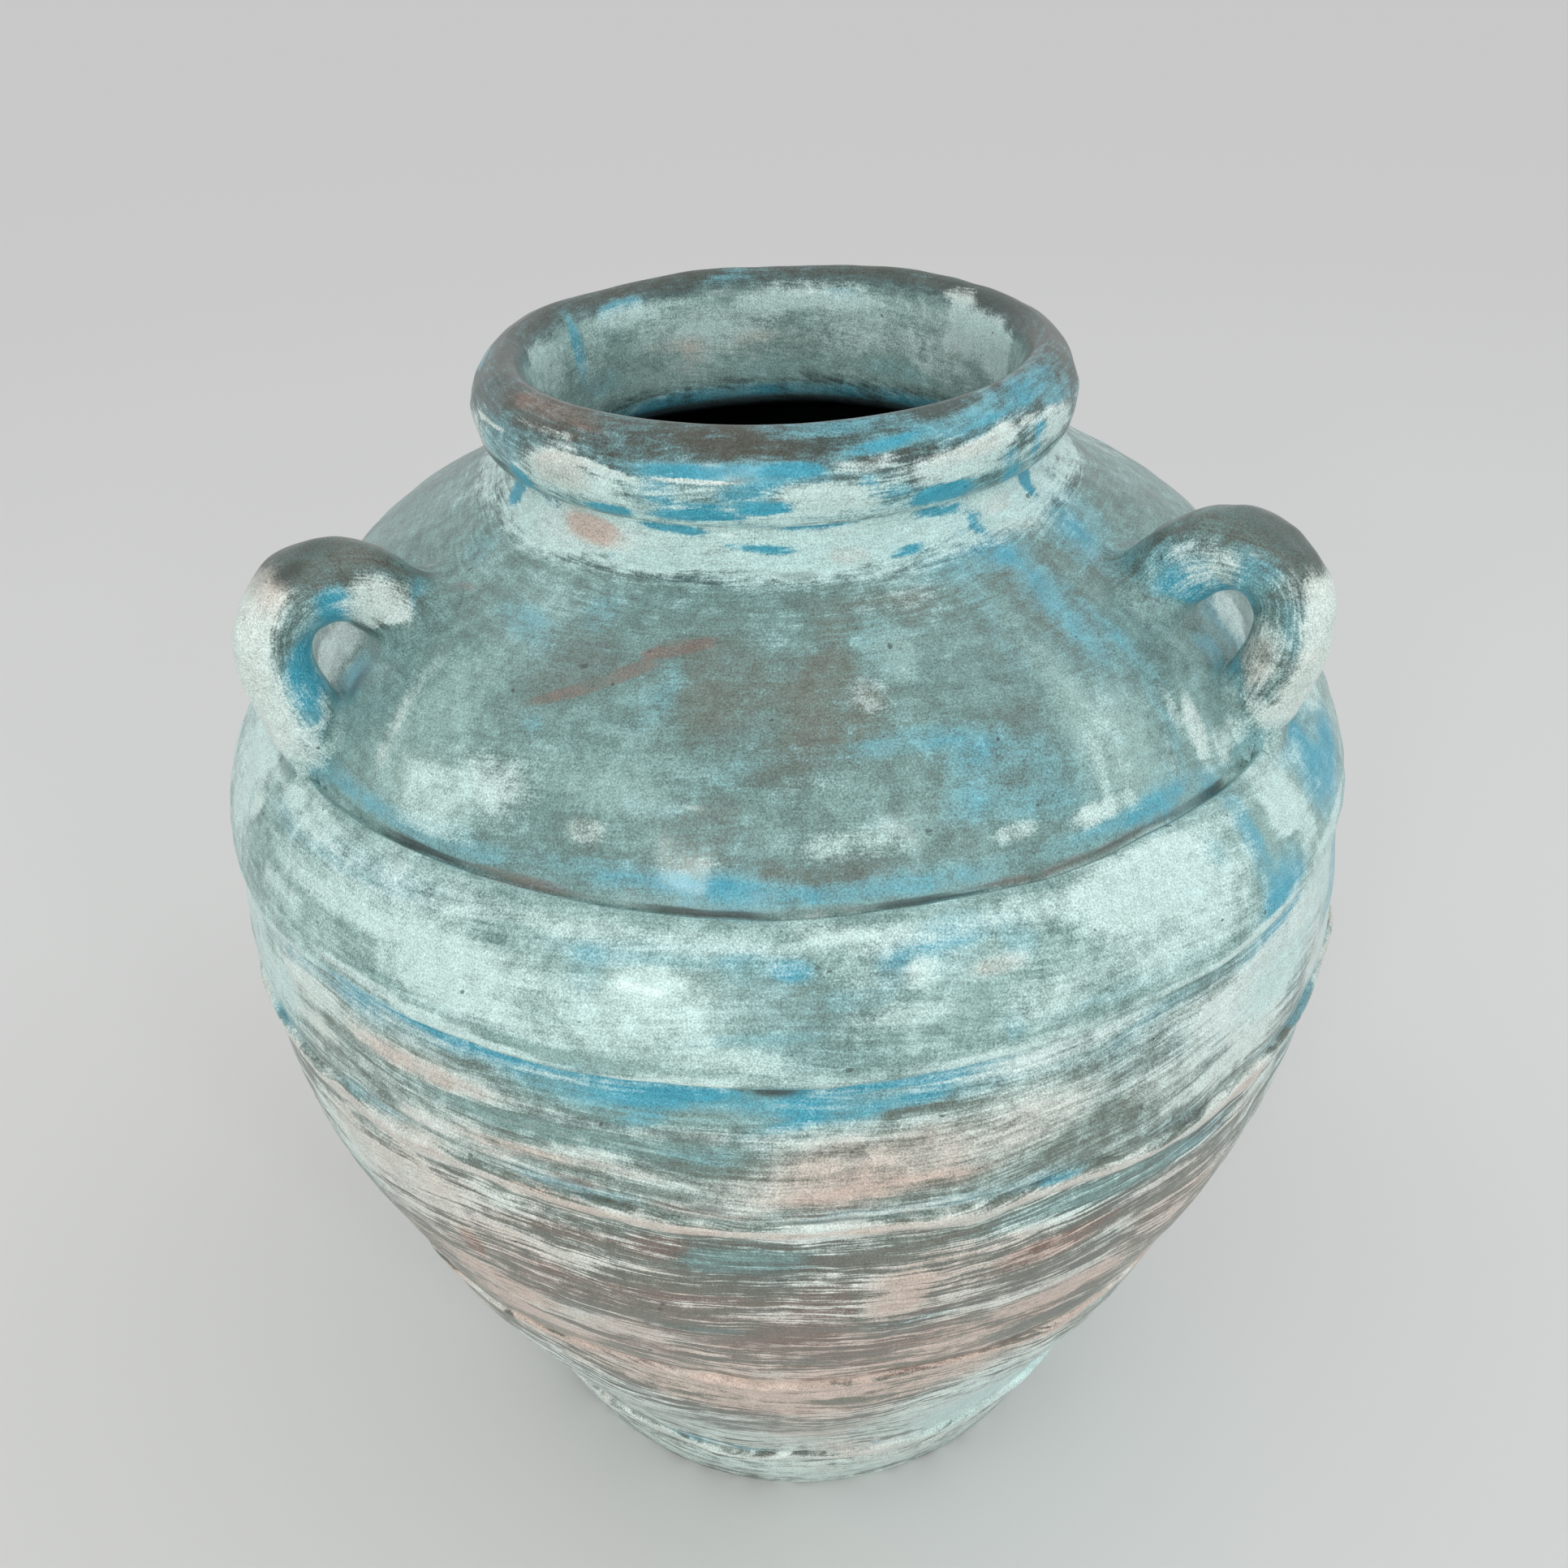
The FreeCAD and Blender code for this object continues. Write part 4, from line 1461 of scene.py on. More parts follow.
# The wall below the middle seam: brown and rust smears with pinkish white between them.
LOWER_STROKES = (
    *laid(
        Coat.AQUA,
        # The aqua at azimuths 64, 58 and 50 is partly the right side's own pale paint and partly painted
        # light from the right.
        (64, 230, 40, 90, 0.25), (58, 150, 40, 60, 0.3), (50, 70, 40, 30, 0.5), (-5, 314, 28, 8, 0.45),
        (28, 317, 60, 8, 0.45), (-30, 115, 80, 46, 0.1), (32, 115, 80, 50, 0.35),
        (-55, 290, 50, 40, 0.15), (58, 270, 56, 60, 0.2), (0, 30, 80, 16, 0.2), (-8, 258, 22, 3, 0.4),
        (27, 80, 32, 34, 0.35),
    ),
    *laid(
        Coat.WHITE,
        # The white at azimuths 64, 56 and 50 is partly the right side's own paint and partly painted light
        # from the right.
        (64, 240, 40, 80, 0.15), (56, 150, 40, 60, 0.25), (50, 75, 50, 30, 0.4),
        (-44, 300, 34, 26, 0.35, -6), (42, 205, 34, 14, 0.4, 8), (10, 30, 90, 14, 0.25),
        (-38, 160, 30, 10, 0.3), (0, 100, 60, 8, 0.25), (-40, 314, 30, 8, 0.35), (-26, 301, 50, 6, 0.4),
        (8, 290, 16, 12, 0.75), (8, 276, 13, 8, 0.75), (30, 285, 9, 3, 0.7), (22, 309, 18, 3, 0.5),
        (35, 300, 26, 2.2, 0.6), (-32, 250, 30, 13, 0.35), (-20, 245, 36, 9, 0.65),
        (22, 255, 42, 4, 0.55), (28, 240, 38, 8, 0.55), (16, 222, 28, 5, 0.5), (-8, 207, 34, 3, 0.5),
        (-30, 225, 32, 9, 0.35), (0, 178, 96, 6, 0.5), (-6, 165, 32, 7, 0.4), (-2, 83, 36, 7, 0.3),
        (-30, 120, 70, 40, 0.1), (30, 120, 70, 40, 0.25), (-55, 295, 46, 34, 0.25),
        (50, 312, 26, 10, 0.4), (-1, 250, 24, 16, -0.3), (-5, 314, 26, 8, -0.3), (30, 317, 40, 7, -0.3),
        (-14, 285, 60, 4, -0.2), (-8, 272, 50, 1.5, 0.4, 4), (-38, 190, 40, 8, 0.4),
        (55, 270, 30, 26, 0.2), (38, 262, 16, 8, 0.3), (-28, 188, 26, 3, 0.5), (0, 183, 20, 6, -0.25),
        (0, 128, 30, 12, -0.3), (-21, 294, 14, 8, 0.25), (-26, 219, 20, 8, 0.2), (-32, 250, 34, 12, 0.3),
        (-32, 228, 30, 8, 0.3), (22, 238, 44, 14, 0.3), (-40, 300, 40, 16, 0.35), (-32, 319, 34, 10, 0.5),
        (-21, 294, 14, 6, 0.3), (27, 80, 32, 34, 0.55), (-26, 219, 20, 7, 0.3), (-38, 190, 50, 5, 0.3),
    ),
    *laid(
        Coat.BROWN,
        # The brown wiped off at azimuths 64 and 58 is part of the painted light on the right side.
        (64, 230, 40, 90, -0.25), (58, 150, 40, 60, -0.25), (-25, 315, 52, 4, 0.45),
        (-12, 318, 15, 7, 0.8, 8), (-32, 281, 5, 9, 0.9), (-14, 285, 62, 5, 0.45), (2, 285, 14, 14, 0.6),
        (-1, 250, 26, 16, 0.5), (6, 236, 22, 8, 0.6, 12), (0, 213, 42, 6, 0.3), (12, 268, 16, 2, 0.7, 8),
        (24, 294, 28, 4.5, 0.8, 3), (22, 285, 20, 3, 0.5, 3), (36, 270, 8, 6, 0.4),
        (-14, 254, 18, 2, 0.7, -10), (24, 229, 24, 1.8, 0.5, 3), (12, 245, 16, 4, 0.5, 12),
        (-12, 228, 26, 3, 0.5, 6), (-8, 200, 46, 3, 0.5), (8, 200, 34, 3, 0.5), (-5, 191.5, 52, 1.3, 0.9),
        (-18, 170, 7, 5, 0.6), (-2, 155, 52, 5, 0.55), (2, 143, 44, 3.5, 0.45), (-5, 315, 26, 8, -0.7),
        (8, 290, 17, 12, -0.8), (8, 276, 14, 8, -0.8), (-32, 250, 32, 13, -0.25), (-20, 245, 36, 9, -0.7),
        (27, 241, 36, 8, -0.4), (22, 255, 42, 4, -0.6), (-5, 298, 20, 7, -0.4), (22, 318, 52, 7, -0.5),
        (-30, 225, 32, 9, -0.3), (-27, 302, 46, 6, -0.25), (-26, 235, 30, 1.6, 0.6, -4),
        (-28, 262, 26, 1.3, 0.8, -3), (28, 275, 26, 4, -0.2), (-58, 300, 50, 40, -0.2),
        (60, 270, 50, 60, -0.2), (-20, 195, 30, 1.2, 0.5), (14, 162, 14, 3, 0.3), (10, 115, 14, 8, 0.3),
        (-16, 272, 50, 8, 0.3), (24, 226, 30, 4, 0.3), (-12, 194, 24, 2.4, 0.5), (24, 294, 26, 5, 0.3, 3),
    ),
    *laid(
        Coat.WARM,
        # The warmth wiped off at azimuths 62 and 58 is part of the painted light on the right side.
        (62, 230, 44, 90, -0.4), (58, 150, 40, 60, -0.3), (-5, 314, 28, 9, -0.8), (30, 317, 60, 9, -0.9),
        (8, 284, 17, 18, 0.4), (24, 292, 30, 7, 0.6), (-32, 281, 6, 9, 0.8), (-10, 258, 26, 3, -0.7),
        (10, 260, 24, 3, -0.6), (-55, 290, 50, 40, -0.2), (60, 270, 56, 60, -0.35),
        (-30, 120, 70, 50, -0.6), (32, 120, 80, 60, -0.9), (26, 236, 36, 14, 0.4), (0, 170, 96, 14, 0.4),
        (0, 112, 20, 20, 0.2), (40, 190, 20, 12, -0.5), (-32, 250, 34, 12, 0.4), (-32, 228, 30, 8, 0.4),
        (22, 238, 44, 14, 0.4), (-45, 190, 50, 8, -0.6),
    ),
    *laid(
        Coat.BLUE,
        (39, 315, 28, 8, 0.6), (20, 319, 50, 4, 0.3), (-8, 258, 22, 3, 0.65), (10, 260, 24, 3, 0.65, 4),
        (24, 190, 11, 3, 1), (31, 187, 22, 4, 0.7, -4), (-28, 198, 12, 5, 0.5), (-47, 236, 10, 12, 0.5),
        (-51, 208, 12, 8, 0.4), (-20, 61, 36, 5, 0.5), (12, 60, 4, 3.5, 0.9), (18, 58, 5, 3, 0.6),
        (45, 290, 20, 20, 0.35), (8, 194, 10, 3, 0.4), (40, 178, 14, 6, 0.5, -14), (36, 60, 20, 4, 0.3),
        (0, 63, 60, 2.5, 0.3), (60, 300, 30, 40, 0.3), (24, 158, 20, 3, 0.25), (28, 190, 16, 4, 0.3),
    ),
    *laid(
        Coat.DARK,
        (-36, 194, 3.5, 4, 1.3, 60), (-14, 318, 10, 5, 0.25, 8), (-14, 312, 34, 0.9, 0.6, 5),
        (-26, 183, 22, 0.9, 0.7, 6), (14, 163, 1.5, 1.5, 1.2), (2, 132, 24, 3, 0.3),
        (2, 262, 26, 1, 0.6, 3), (20, 262, 36, 1, 0.4, 6), (-18, 47.5, 54, 0.9, 0.7, 1),
        (32, 20, 20, 14, 0.25, -10), (3, 195, 20, 1.4, 0.5), (8, 190, 8, 1, 0.7, -10),
        (-14, 276, 46, 2, 0.4, 3), (-12, 283, 40, 1.4, 0.4, 4), (-20, 268, 30, 1.4, 0.5),
        (-8, 262, 70, 1.2, 0.5, 2), (24, 300, 30, 1.4, 0.5, 4), (30, 280, 26, 1.2, 0.5, 6),
    ),
)

# The neck and the rim; heights over 600 lie on their inside.
MOUTH_STROKES = (
    *laid(
        Coat.WARM,
        (-45, 597, 34, 5, 0.6), (-8, 595, 28, 5, 0.4), (-40, 578, 24, 9, 0.45),
        (-36, 553, 26, 5, 0.6, -12), (33, 583, 26, 4, 0.45), (45, 553, 16, 5, 0.5),
        (-62, 588, 24, 6, 0.4), (30, 596, 60, 5, -0.5), (178, 640, 26, 14, 0.5), (-150, 640, 30, 12, 0.5),
        (130, 630, 30, 20, 0.2), (-38, 552, 14, 5, 0.6), (12, 549, 10, 3, 0.5),
    ),
    *laid(
        Coat.BROWN,
        (-45, 597.5, 34, 3.4, 0.75), (-30, 593, 20, 3, 0.5, -6), (-12, 596, 30, 2, 0.35),
        (-38, 591, 4, 2, 0.9, 30), (-44, 576, 2, 6, 0.6, -20), (34, 584, 22, 0.8, 0.5, 8),
        (-56, 596, 10, 3, 0.4),
    ),
    *laid(
        Coat.BLUE,
        (12, 598.5, 32, 2.2, 0.6), (42, 595.5, 76, 4, 0.65, 3), (63, 590, 20, 5, 0.55),
        (-58, 588, 18, 4, 0.3), (-12, 586.5, 40, 3, 0.5, 2), (-56, 578, 16, 8, 0.3),
        (-20, 577, 7, 6, 0.5), (-5, 578, 13, 4, 0.7, 6), (-13, 570, 15, 4, 0.9), (-2, 571, 9, 3, 0.6),
        (15, 578, 4, 5, 0.8, 30), (20, 574.5, 8, 3, 0.5), (28, 571, 11, 6, 0.45),
        (52, 578, 3, 9, 0.9, -20), (-62, 553, 5, 5, 0.8), (-25, 557, 24, 2, 0.6),
        (-43, 552, 6, 2, 0.6, -20), (-18, 550, 6, 3, 0.4, 40), (-3, 553, 15, 0.9, 1.1, -3),
        (5, 551, 6, 2, 1), (0, 548.8, 12, 1.4, 0.8), (30, 556.2, 21, 1.8, 1.3, -3),
        (36, 552, 6, 5, 1.3, 8), (25, 547, 6, 1.6, 0.7), (57, 555, 4, 6, 1), (66, 559, 14, 4, 0.7),
        (4, 587, 10, 3, 0.5), (18, 592, 20, 2.5, 0.5, 6), (-64, 578, 8, 5, 0.4), (38, 578, 5, 3, 0.5, 50),
        (44, 575, 5, 5, 0.5), (34, 566, 20, 3, 0.4), (-32, 566, 14, 2, 0.3), (-120, 620, 5, 16, 0.9, 4),
        (-138, 608, 16, 4, 0.8), (-131, 616, 5, 8, 0.4), (162, 612, 12, 4, 0.9), (-158, 660, 60, 4, 0.5),
        (150, 660, 60, 4, 0.5), (-170, 603, 14, 3, 0.5), (178, 645, 30, 8, 0.25), (142, 645, 30, 6, 0.3),
        (-128, 640, 20, 8, 0.3), (154, 618, 10, 3, 0.4, -30), (32, 556, 16, 4, 0.5, -3),
        (-8, 566, 40, 3, 0.5), (10, 568, 40, 3, 0.4), (-30, 552, 20, 2.5, 0.3, -10),
        (16, 552, 14, 2, 0.4), (48, 556, 8, 5, 0.4), (-48, 556, 10, 3, 0.4), (-6, 585, 40, 4, 0.45),
        (40, 590, 40, 3, 0.4, 4), (56, 584, 16, 6, 0.3),
    ),
    *laid(
        Coat.WHITE,
        (-62, 585.3, 16, 0.9, 1.1), (-37, 584.6, 13, 1.2, 1.4, -2), (-29, 582.4, 12, 1.3, 1.4, -9),
        (-12, 582, 24, 0.6, 1.1), (-40, 577, 24, 8, 0.65), (-30, 573, 10, 6, 0.4), (-70, 578, 16, 8, 0.4),
        (-44, 592, 24, 1.6, 0.6), (-40, 588, 10, 2.4, 0.4), (8, 575, 20, 6, 0.65),
        (33, 583, 28, 4.5, 0.9, 2), (32, 577, 22, 4, 0.7), (15, 587, 16, 3, 0.4), (26, 590, 20, 3, 0.3),
        (60, 580, 14, 7, 0.7), (54, 586.5, 14, 2.5, 0.6), (-55, 551.5, 16, 4.5, 0.6),
        (-52, 548, 6, 1.5, 1.2), (-35, 553, 24, 4, 0.8, -14), (-26, 549, 18, 3, 0.8, -12),
        # The white at azimuth -10, height 547.6, is a painted highlight on the collar's foot.
        (-10, 547.6, 20, 1.3, 1.2, 2), (12, 549, 26, 3, 0.85), (28, 551.5, 14, 3, 0.9),
        (46, 553, 16, 5.5, 0.85), (61, 552, 8, 4, 0.7), (-12, 553, 20, 2.5, 0.4), (12, 556, 30, 3, 0.3),
        (-30, 560, 30, 2, 0.3), (43, 548, 10, 2, 0.7), (0, 563, 60, 3, 0.2), (-68, 590, 20, 2, 0.3),
        (42, 586, 8, 4, 0.4), (-96, 618, 16, 16, 0.5), (-108, 622, 12, 14, 0.6), (-125, 626, 14, 14, 0.4),
        (-150, 620, 34, 14, 0.45, -10), (170, 612, 34, 8, 0.6), (150, 625, 30, 14, 0.4, 12),
        (118, 616, 22, 14, 0.9), (104, 620, 16, 16, 0.9), (130, 634, 22, 12, 0.45),
        (-170, 626, 24, 12, 0.35, 14), (-135, 612, 20, 6, 0.4), (127, 604, 14, 4, 0.7),
        (-44, 549, 14, 5, 0.5), (45, 589, 16, 5, 0.4), (-7, 585, 20, 4, -0.5), (20, 556, 60, 8, 0.3),
        (-30, 552, 40, 6, 0.3), (-5, 568, 60, 4, 0.4), (-44, 549, 16, 5, 0.3), (178, 630, 60, 16, 0.15),
        (-130, 625, 34, 18, -0.1),
    ),
    *laid(
        Coat.DARK,
        (-30, 588.5, 18, 3, 0.4), (-31, 563, 14, 2.4, 0.6), (34, 593, 36, 2.5, 0.2),
        # The dark all round at height 561.5 is painted shade in the crease under the rim roll.
        (-20, 577, 6, 5, 0.35), (-38, 591, 3, 1.2, 0.6, 20), (0, 561.5, 300, 1, 0.35),
        (-12, 572.5, 12, 0.5, 0.5, 6), (48, 590, 16, 2, 0.2), (0, 664, 400, 1.5, 0.5),
        (-8, 585, 16, 4, 0.3),
    ),
    *laid(
        Coat.AQUA,
        (-6, 595, 30, 5, -0.2), (42, 595, 70, 4, -0.2), (-15, 587, 40, 3, -0.35), (-66, 590, 20, 6, 0.3),
        (-38, 552, 30, 6, -0.4), (-7, 585, 20, 4, -0.5),
    ),
)

# The left handle from 2000 up and the right one from 3000 up, by the way along the coil.
HANDLE_STROKES = (
    *laid(
        Coat.WHITE,
        (0, 2112, 20, 26, -0.6), (5, 3104, 20, 26, -0.6), (-50, 2116, 14, 30, -0.4),
        (50, 3116, 14, 30, -0.4), (10, 2060, 14, 30, 0.8), (20, 2085, 14, 14, 0.8),
        (100, 2128, 14, 16, 0.8), (95, 2150, 14, 10, 0.5), (140, 2040, 8, 8, 0.6), (50, 2050, 8, 24, 0.3),
        (120, 2160, 14, 6, 0.4), (90, 2024, 16, 8, 0.5), (100, 2034, 8, 6, 0.5), (-10, 3062, 14, 26, 0.9),
        (-30, 3050, 12, 28, 0.75), (-120, 3056, 12, 20, 0.4), (-80, 3120, 16, 8, 0.3),
        (-60, 3030, 16, 8, 0.6), (-100, 3108, 10, 6, 0.35), (-50, 3076, 10, 14, 0.3),
    ),
    *laid(
        Coat.BLUE,
        (0, 2106, 18, 26, -0.6), (0, 3104, 18, 26, -0.6), (150, 2080, 14, 34, 0.55),
        (120, 2060, 10, 20, 0.5), (130, 2112, 12, 10, 0.8), (98, 2106, 8, 8, 0.6),
        (100, 2030, 14, 10, 0.3), (60, 2142, 10, 6, 0.7), (90, 2050, 10, 20, 0.35),
        (170, 2150, 14, 14, 0.3), (-120, 3130, 16, 16, 0.6), (-170, 3110, 14, 30, 0.6),
        (-90, 3098, 12, 10, 0.4), (-70, 3072, 8, 12, 0.4), (-150, 3030, 14, 20, 0.4),
        (-150, 3090, 12, 12, 0.3), (-150, 3038, 3, 5, 1), (-50, 3128, 6, 14, 0.3),
    ),
    *laid(
        Coat.WARM,
        (10, 2070, 20, 30, 0.25), (20, 2105, 20, 20, 0.5), (60, 2150, 14, 10, 0.4),
        (-40, 3050, 14, 26, 0.35), (-130, 3050, 14, 20, 0.6), (0, 3100, 20, 20, 0.4),
        (0, 2130, 16, 20, 0.5),
    ),
    *laid(
        Coat.BROWN,
        (0, 2110, 16, 18, 0.35), (-10, 2140, 12, 16, 0.4), (10, 2160, 12, 6, 1), (0, 3100, 16, 12, 0.35),
        (0, 3156, 12, 6, 1), (-50, 3022, 8, 3, 0.9), (40, 2082, 4, 14, 0.4),
    ),
    *laid(
        Coat.DARK,
        (0, 2100, 12, 20, 0.3), (178, 2096, 5, 20, 0.5), (-10, 3096, 14, 16, 0.35),
        (180, 3100, 5, 20, 0.5), (60, 2076, 4, 14, 0.3), (40, 2098, 5, 5, 0.4), (-80, 3060, 6, 16, 0.25),
        (-100, 3084, 6, 6, 0.3),
    ),
)

# Strokes laid last on the left and the right handle: white on their outer side, a little blue, less aqua,
# and darker tops.
LAST_HANDLE_STROKES = (
    *laid(
        Coat.WHITE,
        (0, 2056, 26, 36, 0.5), (30, 2056, 16, 24, 0.4), (-10, 3062, 14, 26, 0.25),
    ),
    *laid(
        Coat.BLUE,
        (-120, 3120, 20, 20, 0.2), (130, 2108, 14, 14, 0.2),
    ),
    *laid(
        Coat.AQUA,
        (0, 2112, 26, 34, -0.2), (0, 3106, 26, 34, -0.2),
    ),
    *laid(
        Coat.DARK,
        (0, 2112, 26, 34, 0.45), (0, 3106, 26, 34, 0.42),
    ),
)

# Vivid blue that shows on the neck where the white is wiped off.
VIVID_PATCHES = (
    (-14, 568, 18, 3, 2), (-2, 572, 12, 3, 0), (30, 569, 14, 4, 0), (-30, 566, 10, 3, 0),
    (-52, 567, 8, 6, -10), (-20, 557, 16, 2, -4), (8, 560, 18, 2, 2), (-62, 553, 7, 5, 0),
    (57, 556, 5, 7, 0), (-3, 552, 18, 1.6, -3), (33, 556, 14, 2.6, -6), (40, 550, 6, 4, 20),
    (22, 547.5, 10, 1.5, 0), (-28, 548, 10, 1.5, 6), (46, 566, 6, 5, 20),
)
VIVID_STROKES = tuple(
    Stroke(coat, *patch[:4], strength, patch[4])
    for coat, strength in ((Coat.BLUE, 0.8), (Coat.WHITE, -0.85))
    for patch in VIVID_PATCHES
)

# The back handle's strokes, from 4000 up, are the left one's.
BACK_HANDLE_STROKES = tuple(
    replace(stroke, height=stroke.height + 2000) for stroke in HANDLE_STROKES if stroke.height < 3000
)


def strewn(
    coat: Coat, seed: int, count: int, heights: Pair, size: Pair, strength: float, sector: Pair = (76, 284)
) -> tuple[Stroke, ...]:
    """Strokes drawn at random over the sides and the back, which the photograph doesn't show.

    Args:
        coat: what they lay on.
        seed: what they are drawn from.
        count: how many there are.
        heights: the heights between which their middles lie.
        size: half the width and half the height of the largest.
        strength: how much the strongest lays on.
        sector: the azimuths between which they lie.

    Returns:
        The strokes.
    """
    draw = np.random.default_rng(seed)
    made = []
    for _ in range(count):
        width, tall = np.array(size) * draw.uniform(0.35, 1.0, 2)
        azimuth, height = draw.uniform(*sector), draw.uniform(*heights)
        tilt = draw.normal(0, 5)
        made.append(Stroke(coat, azimuth, height, width, tall, strength * draw.uniform(0.5, 1), tilt))
    return tuple(made)


BACK_STROKES = (
    *strewn(Coat.WHITE, 1, 14, (465, 535), (26, 14), 0.5),
    *strewn(Coat.BLUE, 2, 12, (462, 538), (24, 14), 0.6),
    *strewn(Coat.WARM, 3, 8, (480, 535), (30, 12), 0.4),
    *strewn(Coat.WHITE, 4, 18, (412, 452), (36, 9), 0.6),
    *strewn(Coat.BLUE, 5, 16, (410, 452), (26, 9), 0.7),
    *strewn(Coat.BLUE, 6, 9, (400, 405), (60, 3.5), 1.1),
    *strewn(Coat.WHITE, 7, 34, (338, 398), (40, 10), 0.65),
    *strewn(Coat.BLUE, 8, 14, (336, 400), (26, 7), 0.6),
    *strewn(Coat.DARK, 9, 12, (338, 395), (16, 4), 0.5),
    *strewn(Coat.BROWN, 10, 34, (196, 322), (34, 7), 0.8),
    *strewn(Coat.BROWN, 11, 26, (205, 315), (36, 9), -0.8),
    *strewn(Coat.WHITE, 12, 60, (196, 322), (36, 9), 0.75),
    *strewn(Coat.WARM, 13, 12, (196, 310), (40, 14), 0.5),
    *strewn(Coat.DARK, 14, 14, (196, 320), (34, 1.6), 0.6),
    *strewn(Coat.BLUE, 15, 12, (150, 320), (24, 6), 0.6),
    *strewn(Coat.WHITE, 16, 24, (56, 180), (50, 14), 0.45),
    *strewn(Coat.BROWN, 17, 10, (60, 180), (30, 8), 0.5),
    *strewn(Coat.BLUE, 18, 10, (572, 596), (24, 4), 0.8),
    *strewn(Coat.WHITE, 19, 12, (548, 590), (20, 5), 0.8),
    *strewn(Coat.BLUE, 20, 8, (547, 566), (16, 3), 0.9),
    *strewn(Coat.WHITE, 31, 26, (60, 400), (44, 13), 0.7, (46, 104)),
    *strewn(Coat.AQUA, 32, 18, (60, 400), (54, 20), 0.7, (46, 112)),
    *strewn(Coat.BLUE, 33, 14, (200, 440), (30, 10), 0.6, (50, 84)),
    *strewn(Coat.BROWN, 34, 12, (80, 330), (50, 14), -0.7, (46, 104)),
    *strewn(Coat.WHITE, 35, 26, (60, 400), (44, 13), 0.7, (-104, -46)),
    *strewn(Coat.AQUA, 36, 14, (60, 400), (54, 20), 0.6, (-112, -46)),
    *strewn(Coat.BROWN, 37, 12, (80, 330), (50, 14), -0.7, (-104, -46)),
)
STROKES = (
    *SHOULDER_STROKES,
    *BAND_STROKES,
    *BELLY_STROKES,
    *LOWER_STROKES,
    *MOUTH_STROKES,
    *HANDLE_STROKES,
    *LAST_HANDLE_STROKES,
    *VIVID_STROKES,
    *BACK_HANDLE_STROKES,
    *BACK_STROKES,
)


@dataclass(frozen=True)
class RawClay:
    """Unpainted clay, seen under the jar and at the bottom of its hollow."""

    name: str = "raw_clay_underside"
    pale: str = "9A8878"
    deep: str = "77675A"
    roughness: float = 0.85
    relief: float = 0.0008

    def material(self) -> bpy.types.Material:
        """Make the material, which reads Object coordinates alone."""
        shader = Shader(self.name)
        place = shader.node("ShaderNodeTexCoord", {}, {}, "Object")
        cloud = shader.grain(place, 30.0, 5.0, 0.6)
        grit = shader.grain(place, 700.0, 3.0, 0.6)
        turned = shader.grain(shader.stretched(place, (1.0, 1.0, 0.2)), 90.0, 2.0, 0.5)
        share = (cloud * 0.7 + grit * 0.5 - 0.1).eased(0.3, 0.75)
        colour = shader.blend(share, srgb(self.deep), srgb(self.pale))
        relief = shader.bump(grit + turned, self.relief)
        rough = self.roughness + (grit - 0.5) * 0.1
        return shader.finish(Base_Color=colour, Roughness=rough.held(), Normal=relief)


@dataclass
class Jar:
    """The whole pithos."""

    brushwork: Brushwork
    upper: PaintedClay = PaintedClay("upper_painted_clay")
    lower: PaintedClay = PaintedClay("lower_painted_clay", ground="666A65", roughness=0.40, crisp=1.9)
    seams: PaintedClay = PaintedClay("seam_painted_clay", roughness=0.36, crisp=1.8)
    rim: PaintedClay = PaintedClay(
        "rim_painted_clay", ground="46534F", warm_ground="605A50", film="5E7E80", crisp=1.4
    )
    handles: PaintedClay = PaintedClay(
        "handle_painted_clay", ground="566460", warm_ground="6E6A60", crisp=1.5
    )

    def build(self) -> None:
        """Make every piece that is dressed, and give the base slab its clay."""
        finishes = {
            Slot.UPPER: self.upper.material(),
            Slot.LOWER: self.lower.material(),
            Slot.SEAM: self.seams.material(),
            Slot.RIM: self.rim.material(),
            Slot.HANDLE: self.handles.material(),
        }
        for ring in RINGS:
            ring.build(self.brushwork, finishes[ring.slot])
        for strip in STRIPS:
            strip.build(self.brushwork, finishes[Slot.SEAM])
        skin = np.concatenate([smooth_line(ring.outside, 1.0) for ring in HANDLE_WALL])
        for handle in HANDLES:
            handle.build(self.brushwork, finishes[Slot.HANDLE], skin)
        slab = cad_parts["base_slab"]
        slab.data.materials.clear()
        slab.data.materials.append(RawClay().material())
        log.info("base_slab keeps its own shape")


@dataclass(frozen=True)
class Lamp:
    """A soft panel of light.

    Args:
        name: its name.
        azimuth: where it stands round the jar.
        elevation: how high it stands, in degrees above the place that it lights.
        distance: how far it is from there, in metres.
        width: its width.
        height: its height.
        power: its watts.
        colour: its colour.
    """

    name: str
    azimuth: float
    elevation: float
    distance: float
    width: float
    height: float
    power: float
    colour: str = "FFFFFF"

    def hang(self, target: Vector) -> None:
        """Hang the lamp so that it faces a point.

        Args:
            target: the point that it lights.
        """
        data = bpy.data.lights.new(self.name, "AREA")
        data.shape = "RECTANGLE"
        data.size = self.width
        data.size_y = self.height
        data.energy = self.power
        data.color = srgb(self.colour)[:3]
        lamp = bpy.data.objects.new(self.name, data)
        turn = math.radians(self.azimuth)
        rise = math.radians(self.elevation)
        way = Vector((math.sin(turn) * math.cos(rise), -math.cos(turn) * math.cos(rise), math.sin(rise)))
        lamp.location = target + way * self.distance
        lamp.rotation_euler = (-way).to_track_quat("-Z", "Y").to_euler()
        bpy.context.scene.collection.objects.link(lamp)


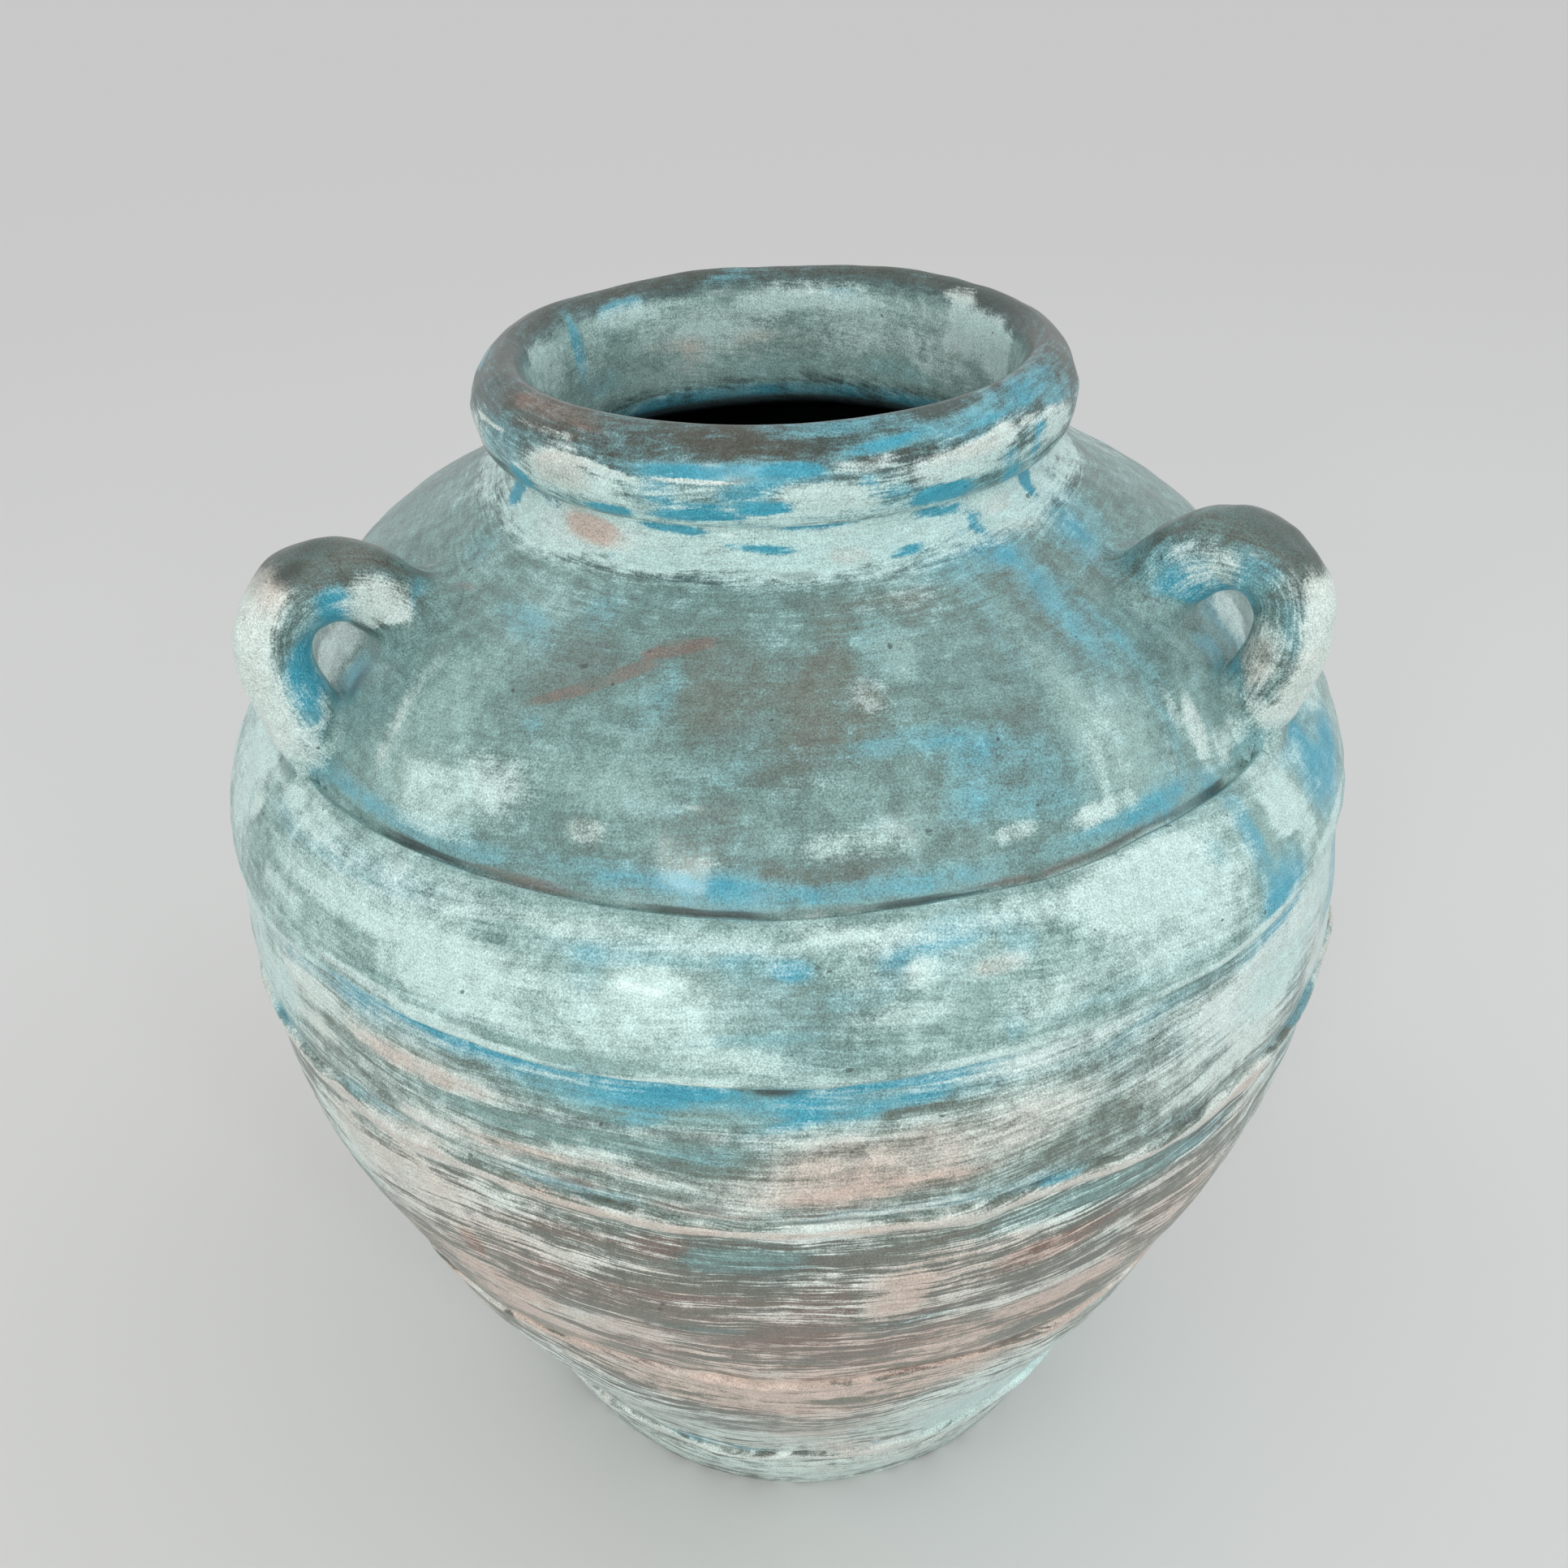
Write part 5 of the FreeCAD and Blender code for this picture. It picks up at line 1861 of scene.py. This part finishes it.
@dataclass(frozen=True)
class Studio:
    """The camera, the pale floor and the soft light.

    Args:
        lens: the camera's lens on a sensor 36 mm wide, in millimetres.
        camera_place: where the camera is, in metres.
        pitch: how far it looks down, in degrees.
        roll: how far its picture is turned.
        yaw: how far it looks to the right.
        floor_reach: half the floor's width, in metres.
        sky: how bright the even light from all round is.
        floor_colour: the floor's colour.
        lit_place: the place that the panels face, in metres.
        lamps: the panels.
    """

    lens: float = 36.0
    camera_place: tuple[float, float, float] = (0.0, -0.6909, 0.7999)
    pitch: float = 32.183
    roll: float = -1.985
    yaw: float = -0.138
    floor_reach: float = 30.0
    sky: float = 0.8
    floor_colour: str = "D9DAD9"
    lit_place: tuple[float, float, float] = (0.0, -0.1, 0.45)
    lamps: tuple[Lamp, ...] = (
        Lamp("left_window", -21, 25, 1.9, 0.22, 0.12, 4.8, "FFFFF6"),
        Lamp("right_window", 27, 28, 1.9, 0.20, 0.14, 2.8),
        Lamp("side_window", 92, 40, 2.0, 0.70, 0.9, 3.0, "DDF3FF"),
        Lamp("far_left_window", -122, 52, 2.0, 0.8, 0.8, 1.5),
        Lamp("far_right_window", 125, 55, 2.0, 0.8, 0.8, 1.5),
        Lamp("front_wall", 0, 12, 3.5, 4.0, 1.6, 10.0),
    )

    def place_camera(self) -> None:
        """Make the scene's camera."""
        pitch = math.radians(self.pitch)
        roll = math.radians(self.roll)
        yaw = math.radians(self.yaw)
        ahead = Vector((math.sin(yaw) * math.cos(pitch), math.cos(yaw) * math.cos(pitch), -math.sin(pitch)))
        level = Vector((math.cos(yaw), -math.sin(yaw), 0))
        upright = level.cross(ahead)
        right = level * math.cos(roll) + upright * math.sin(roll)
        up = upright * math.cos(roll) - level * math.sin(roll)
        data = bpy.data.cameras.new("photographer")
        data.lens = self.lens
        data.sensor_width = 36.0
        data.sensor_fit = "HORIZONTAL"
        data.clip_start = 0.01
        camera = bpy.data.objects.new("photographer", data)
        turned = Matrix((right, up, -ahead)).transposed().to_4x4()
        camera.matrix_world = Matrix.Translation(self.camera_place) @ turned
        bpy.context.scene.collection.objects.link(camera)
        bpy.context.scene.camera = camera

    def lay_floor(self) -> None:
        """Lay the pale floor."""
        shape = bmesh.new()
        bmesh.ops.create_grid(shape, x_segments=1, y_segments=1, size=self.floor_reach)
        mesh = bpy.data.meshes.new("studio_floor")
        shape.to_mesh(mesh)
        shape.free()
        floor = bpy.data.objects.new("studio_floor", mesh)
        bpy.context.scene.collection.objects.link(floor)
        shader = Shader("pale_floor")
        mesh.materials.append(shader.finish(Base_Color=srgb(self.floor_colour), Roughness=0.8))

    def light(self) -> None:
        """Light the scene evenly, with soft panels for the sheen."""
        world = bpy.data.worlds.new("soft_sky")
        world.use_nodes = True
        world.node_tree.nodes["Background"].inputs["Color"].default_value = (1.0, 1.0, 1.0, 1.0)
        world.node_tree.nodes["Background"].inputs["Strength"].default_value = self.sky
        bpy.context.scene.world = world
        for lamp in self.lamps:
            lamp.hang(Vector(self.lit_place))
        bpy.context.scene.view_settings.view_transform = "Standard"

    def set_up(self) -> None:
        """Make the whole studio."""
        self.place_camera()
        self.lay_floor()
        self.light()
        log.info("studio ready: %d lamps", len(self.lamps))


def main() -> None:
    """Build the jar and its studio."""
    logging.basicConfig(level=logging.INFO, format="%(name)s: %(message)s")
    Jar(Brushwork(ZONES, (*SEAM_PAINT, *STROKES))).build()
    Studio().set_up()


if __name__ == "__main__":
    main()
